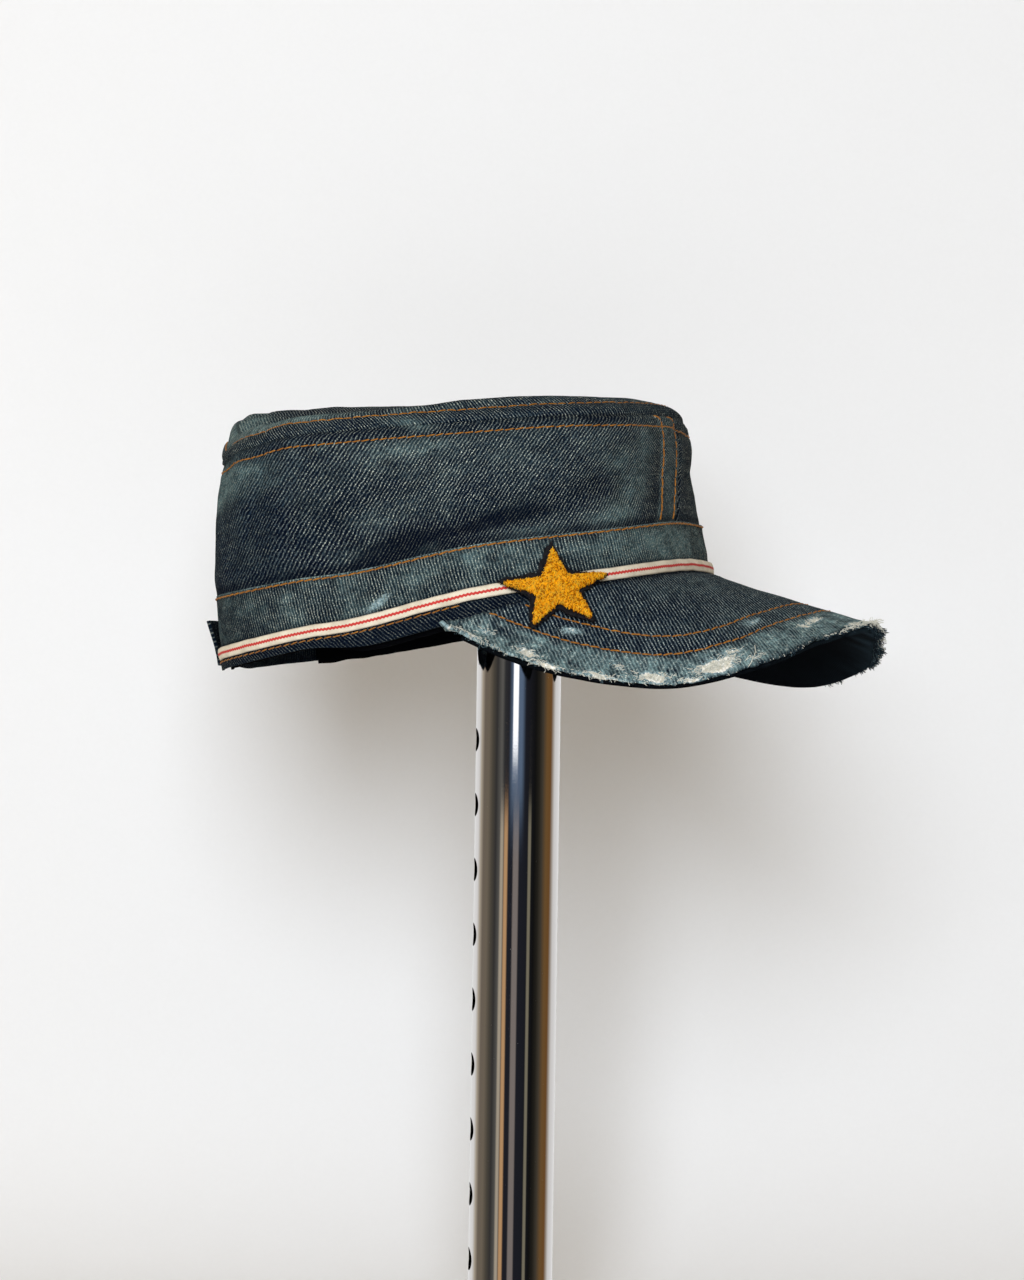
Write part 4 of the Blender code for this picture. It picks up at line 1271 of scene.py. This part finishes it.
# Tufts: share round from the nose, how many fibres, how long and how much they rise
Tuft = namedtuple("Tuft", "share fibres length rise")
tufts = (
    Tuft(-0.09, 12, 2.6, 0.7), Tuft(-0.045, 22, 3.2, 1.0), Tuft(-0.01, 26, 4.2, 1.3),
    Tuft(0.03, 18, 3.4, 0.9), Tuft(0.11, 14, 2.6, 0.3), Tuft(0.21, 12, 2.4, 0.2),
    Tuft(0.31, 14, 2.6, -0.1), Tuft(-0.62, 9, 1.8, 0.2),
    Tuft(-0.785, 26, 3.4, -1.2), Tuft(-0.70, 10, 2.0, -0.3),
)
for tuft in tufts:
    ahead = (peakTop(tuft.share, 1) - peakTop(tuft.share, 0.97)).normalized()
    for count in range(tuft.fibres):
        along = (1 - tuft.share + random.gauss(0, 0.010)) / 2
        start, normal = surfaceAt(peakPlace, along, 0.99)
        first = ahead + normal * (tuft.rise + 0.2) + scatter(0.3)
        later = ahead + normal * tuft.rise + scatter(0.7)
        pale.append(fibreFrom(start - normal * random.uniform(0, 0.8), [first, later, later + scatter(0.8)],
                              tuft.length * random.uniform(0.5, 1.1)))
for name, fibres, finish in (("pale_fray", pale, whiteThread), ("blue_fray", teal, blueThread),
                             ("navy_fray", navy, navyThread)):
    makeThreads(name, fibres, fray["thin"], finish, 0)

# Loose threads: share round and out on the peak at each knot, and height above it
looseThreads = (
    ((-0.36, 0.84, 0.1), (-0.385, 0.90, 0.9), (-0.41, 0.95, 0.6), (-0.435, 1.0, 0.3)),
    ((-0.80, 0.92, 0.2), (-0.81, 0.97, 1.2), (-0.82, 1.0, 1.6)),
    ((0.02, 0.97, 0.2), (0.03, 1.0, 1.6), (0.05, 1.0, 3.0)),
    ((-0.03, 0.97, 0.2), (-0.02, 1.0, 1.0), (0.0, 1.0, 2.2)),
    ((-0.05, 0.96, 0.2), (-0.02, 1.0, 1.6), (0.02, 1.0, 3.8)),
    ((0.0, 0.96, 0.2), (0.02, 1.0, 1.9), (0.03, 1.0, 4.2)),
    ((-0.10, 0.96, 0.2), (-0.11, 1.0, 1.2), (-0.10, 1.0, 2.6)),
)
loose = []
for knots in looseThreads:
    thread = []
    for position in np.linspace(0, len(knots) - 1, 9):
        share, out, lift = smoothRow(knots, float(position))
        point, normal = surfaceAt(peakPlace, (1 - share) / 2, min(out, 0.995))
        thread.append((ontoCap(point + normal * lift), 1.0))
    loose.append(thread)
makeThreads("loose_threads", loose, 0.30, whiteThread)
print("frayed")

# Stand: a drilled tube, its plug and its base plate
stand = {
    "radius": 16.5,
    "wall": 1.5,
    "holes": 9,
    "holeWide": 9.0,
    "holePitch": 25.4,
    "lowestHole": 47.5,
    "holeBearing": 212.0,
    "baseRadius": 100.0,
    "baseThick": 6.0,
    "spigot": 22.0,
    "plugRadius": 29.0,
    "plugDome": 9.0,
    "plugRim": 4.0,
    "plugStem": 18.0,
    "clear": 0.3,
}


def turn(outline, steps):
    form = bmesh.new()
    verts = [form.verts.new((radius * mm, 0, height * mm)) for radius, height in outline]
    edges = [form.edges.new(pair) for pair in zip(verts, verts[1:])]
    if outline[0][0] and outline[-1][0]:
        edges.append(form.edges.new((verts[-1], verts[0])))
    bmesh.ops.spin(form, geom=verts + edges, axis=(0, 0, 1), cent=(0, 0, 0), angle=math.tau,
                   steps=steps, use_merge=True)
    bmesh.ops.remove_doubles(form, verts=form.verts, dist=0.002 * mm)
    bmesh.ops.recalc_face_normals(form, faces=form.faces)
    return form


def bevelSharp(form, width, degrees=50, steps=3):
    edges = [edge for edge in form.edges if edge.calc_face_angle(0) > math.radians(degrees)]
    bmesh.ops.bevel(form, geom=edges, offset=width * mm, offset_type="OFFSET", segments=steps,
                    profile=0.5, affect="EDGES", material=-1, clamp_overlap=True)


def makeChrome():
    material, kit = newMaterial("chrome")
    place = kit.objectPlace()
    hairlines = kit.noise(kit.mapped(place, 0, (1, 1, 14)), 420, 3, 0.7)
    smears = kit.patches(place, 34, 4, 0.6, 0.45, 0.8)
    specks = kit.patches(place, 1500, 1, 0.5, 0.79, 0.83)
    rough = smears * 0.05 + 0.035 + specks * 0.3 + kit.ramp(hairlines, 0.55, 0.8) * 0.05
    colour = kit.mix(specks * 0.6, (0.86, 0.86, 0.87), (0.30, 0.27, 0.24))
    kit.surface(colour=colour, rough=rough, metal=1.0,
                normal=kit.bump(hairlines + specks, 0.01 * mm, 0.10))
    return material


def makePlastic():
    material, kit = newMaterial("black plastic")
    grain = kit.noise(kit.objectPlace(), 900, 3, 0.6)
    colour = kit.mix(grain, (0.010, 0.010, 0.011), (0.022, 0.022, 0.023))
    kit.surface(colour=colour, rough=grain * 0.2 + 0.4, normal=kit.bump(grain, 0.05 * mm, 0.5))
    return material


chrome, blackPlastic = makeChrome(), makePlastic()
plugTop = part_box("post_plug")[1][2] / mm
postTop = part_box("post")[1][2] / mm
inner = stand["radius"] - stand["wall"]
fitted = inner - stand["clear"]
postFoot = stand["baseThick"] + stand["clear"]
tube = turn([(inner, postFoot), (stand["radius"], postFoot),
             (stand["radius"], postTop), (inner, postTop)], 180)
drillForm = bmesh.new()
bearing = math.radians(stand["holeBearing"])
aim = Euler((0, math.pi / 2, bearing)).to_matrix().to_4x4()
for index in range(stand["holes"]):
    aim.translation = Vector((math.cos(bearing) * stand["radius"], math.sin(bearing) * stand["radius"],
                              stand["lowestHole"] + stand["holePitch"] * index)) * mm
    bmesh.ops.create_cone(drillForm, cap_ends=True, segments=48, radius1=stand["holeWide"] / 2 * mm,
                          radius2=stand["holeWide"] / 2 * mm, depth=20 * mm, matrix=aim)
drill = addMesh("drill", drillForm)
post = finishPiece(addMesh("chrome_post", tube), chrome)
cut = post.modifiers.new("holes", "BOOLEAN")
cut.object = drill
cut.solver = "EXACT"
drilled = bpy.data.meshes.new_from_object(post.evaluated_get(bpy.context.evaluated_depsgraph_get()))
post.modifiers.clear()
post.data = drilled
bpy.data.objects.remove(drill)

# The tube's round faces shade as a true cylinder, also beside the holes
drilled.shade_smooth()
normals = [None] * len(drilled.loops)
for face in drilled.polygons:
    centre = Vector((face.center.x, face.center.y, 0))
    roundness = abs(face.normal.dot(centre.normalized()))
    sideways = min(abs(centre.length / mm - radius) for radius in (stand["radius"], inner))
    for loopIndex in face.loop_indices:
        spot = drilled.vertices[drilled.loops[loopIndex].vertex_index].co
        radial = Vector((spot.x, spot.y, 0)).normalized()
        if roundness > 0.97 and sideways < 0.3:
            normals[loopIndex] = radial * math.copysign(1, face.normal.dot(radial))
        else:
            normals[loopIndex] = face.normal.copy()
drilled.normals_split_custom_set(normals)
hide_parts("post")

seat = plugTop - stand["plugDome"] - stand["plugRim"]
dome = [(stand["plugRadius"] * share, plugTop - stand["plugDome"] * share**2)
        for share in np.linspace(0, 1, 13).tolist()]
plug = turn(dome + [(stand["plugRadius"], seat), (fitted, seat), (fitted, seat - stand["plugStem"]),
                    (0, seat - stand["plugStem"])], 96)
bevelSharp(plug, 0.8)
plug = finishPiece(addMesh("plastic_plug", plug), blackPlastic)
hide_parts("post_plug")

base = turn([(0, stand["spigot"]), (fitted, stand["spigot"]), (fitted, stand["baseThick"]),
             (stand["baseRadius"], stand["baseThick"]), (stand["baseRadius"], 0), (0, 0)], 160)
bevelSharp(base, 1.2)
base = finishPiece(addMesh("chrome_base", base), chrome)
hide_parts("base_plate")
for item in (plug, base):
    item.data.set_sharp_from_angle(angle=math.radians(35))
print("stand made")

# Stage: a pale wall curving into a pale floor
stage = {
    "wallBehind": 0.23,
    "half": 3.0,
    "bend": 0.08,
    "tall": 2.2,
    "front": 3.0,
}
away = Vector((-math.sin(math.radians(shot["turn"])), math.cos(math.radians(shot["turn"])), 0))
aside = Vector((away.y, -away.x, 0))
profile = [(-stage["front"], 0.0)]
for step in range(13):
    angle = math.pi / 2 * step / 12
    profile.append((stage["wallBehind"] - stage["bend"] * (1 - math.sin(angle)),
                    stage["bend"] * (1 - math.cos(angle))))
profile.append((stage["wallBehind"], stage["tall"]))
coveForm = bmesh.new()
start = [coveForm.verts.new(away * reach - aside * stage["half"] + Vector((0, 0, height)))
         for reach, height in profile]
line = [coveForm.edges.new(pair) for pair in zip(start, start[1:])]
swept = bmesh.ops.extrude_edge_only(coveForm, edges=line)
moved = [item for item in swept["geom"] if isinstance(item, bmesh.types.BMVert)]
bmesh.ops.translate(coveForm, verts=moved, vec=aside * 2 * stage["half"])
for face in coveForm.faces:
    face.smooth = True
    if face.normal.dot(Vector((0, 0, 1)) - away) < 0:
        face.normal_flip()
cove = addMesh("cove", coveForm)
paper, kit = newMaterial("backdrop paper")
fibres = kit.noise(kit.objectPlace(), 500, 2)
kit.surface(colour=kit.mix(fibres, (0.80, 0.80, 0.80), (0.82, 0.82, 0.82)), rough=1.0, lustre=0.0)
# Its back can be seen through, so the cove hides nothing from behind
nodes = paper.node_tree.nodes
front = Value(kit, nodes["Principled BSDF"].outputs[0])
choice = kit.node("MixShader", 0, {0: kit.node("NewGeometry", "Backfacing"), 1: front,
                                   2: kit.node("BsdfTransparent", 0)})
kit.plug(nodes["Material Output"].inputs["Surface"], choice)
cove.data.materials.append(paper)
cove.visible_glossy = False
cove.visible_shadow = False


# Light: one soft key high beside the camera, soft fills, and a room that the chrome shows
def makeLight(name, place, target, size, power, colour):
    lamp = bpy.data.lights.new(name, "AREA")
    lamp.shape = "ELLIPSE"
    lamp.size, lamp.size_y = size
    lamp.energy = power
    lamp.color = colour
    item = addItem(name, lamp)
    item.location = place
    item.rotation_euler = (Vector(target) - Vector(place)).to_track_quat("-Z", "Y").to_euler()
    item.visible_glossy = False
    item.visible_camera = False


def roundPost(azimuth, distance, height):
    angle = math.radians(azimuth)
    return -away * math.cos(angle) * distance + aside * math.sin(angle) * distance + Vector((0, 0, height))


lights = {
    "key": {"azimuth": -4.0, "distance": 1.6, "height": 0.74, "size": (0.72, 0.84), "power": 28.9,
            "colour": (0.850, 0.912, 0.990)},
    "left": {"azimuth": -75, "distance": 1.5, "height": 0.7, "size": (0.9, 1.2), "power": 3.2,
             "colour": (1.0, 0.88, 0.72)},
    "back": {"azimuth": 165, "distance": 1.7, "height": 1.1, "size": (1.2, 1.2), "power": 6,
             "colour": (1.0, 0.92, 0.82)},
}
for name, light in lights.items():
    makeLight(name, roundPost(light["azimuth"], light["distance"], light["height"]), (0, 0, 0.30),
              light["size"], light["power"], light["colour"])

world = bpy.data.worlds.new("room")
bpy.context.scene.world = world
world.use_nodes = True
kit = Nodes(world.node_tree)
direction = kit.node("TexCoord", "Generated")


def dotWith(vector):
    return kit.node("VectorMath", "Value", {0: direction, 1: vector}, operation="DOT_PRODUCT")


azimuth = kit.math("ARCTAN2", dotWith(aside), dotWith(-away))
upward = dotWith((0, 0, 1))
# What stands round the post in the room, by degrees from the camera: pale walls at the back,
# wood and shade at the sides and a dark corner with a few narrow lit things in front
Stripe = namedtuple("Stripe", "azimuth red green blue")
stripes = (
    Stripe(-180, 0.85, 0.85, 0.85), Stripe(-130, 0.72, 0.70, 0.68), Stripe(-116, 0.42, 0.36, 0.28),
    Stripe(-103, 0.16, 0.13, 0.10), Stripe(-86, 0.16, 0.13, 0.095), Stripe(-72, 0.075, 0.065, 0.05),
    Stripe(-59, 0.035, 0.033, 0.032), Stripe(-44, 0.11, 0.105, 0.095), Stripe(-36, 0.03, 0.03, 0.032),
    Stripe(-20, 0.015, 0.015, 0.02), Stripe(24, 0.012, 0.013, 0.018), Stripe(50, 0.006, 0.006, 0.006),
    Stripe(62, 0.018, 0.016, 0.012), Stripe(74, 0.055, 0.045, 0.032), Stripe(88, 0.15, 0.080, 0.028),
    Stripe(104, 0.15, 0.070, 0.022), Stripe(112, 0.32, 0.27, 0.22), Stripe(124, 0.66, 0.64, 0.62),
    Stripe(180, 0.85, 0.85, 0.85),
)


walls = kit.node("ValToRGB", 0, {0: azimuth * (1 / math.tau) + 0.5})
elements = walls.socket.node.color_ramp.elements
while len(elements) < len(stripes):
    elements.new(0.5)
for element, stripe in zip(elements, stripes):
    element.position = (stripe.azimuth + 180) / 360
for element, stripe in zip(elements, stripes):
    element.color = (*stripe[1:], 1)


def window(value, low, high, soft):
    return kit.ramp(value, low - soft, low + soft) * (1.0 - kit.ramp(value, high - soft, high + soft))


degrees = azimuth * (180 / math.pi)
# Narrow lit things, seen below the level of the lamp: from and to in degrees, softness, colour
below = 1.0 - kit.ramp(upward, -0.062, -0.048)
seen = walls
for low, high, soft, colour in ((-45, -36, 3.0, (0.40, 0.34, 0.26)), (-34, -24, 2.5, (0.50, 0.29, 0.14)),
                                (-9, 6, 2.5, (0.20, 0.17, 0.155)), (32, 40, 2.0, (0.19, 0.17, 0.12))):
    seen = kit.mix(window(degrees, low, high, soft) * below, seen, colour)
# The key lamp's soft box and the glow round it, and a pale ceiling and floor
halo = window(degrees, -19, 16, 7) * kit.ramp(upward, -0.072, -0.040)
seen = kit.mix(halo * 0.75, seen, (0.13, 0.19, 0.29))
softbox = window(degrees, -13.5, 0.5, 2.0) * kit.ramp(upward, -0.041, -0.036)
seen = kit.mix(softbox, seen, (1.25, 1.27, 1.30))
seen = kit.mix(kit.ramp(kit.math("ABSOLUTE", upward), 0.35, 0.65), seen, (0.55, 0.55, 0.56))
room = kit.mix(kit.node("LightPath", "Is Glossy Ray"), (0.235, 0.172, 0.092), seen)
room = kit.mix(kit.node("LightPath", "Is Camera Ray"), room, (0.82, 0.82, 0.82))
kit.plug(world.node_tree.nodes["Background"].inputs["Color"], room)
print("lit")
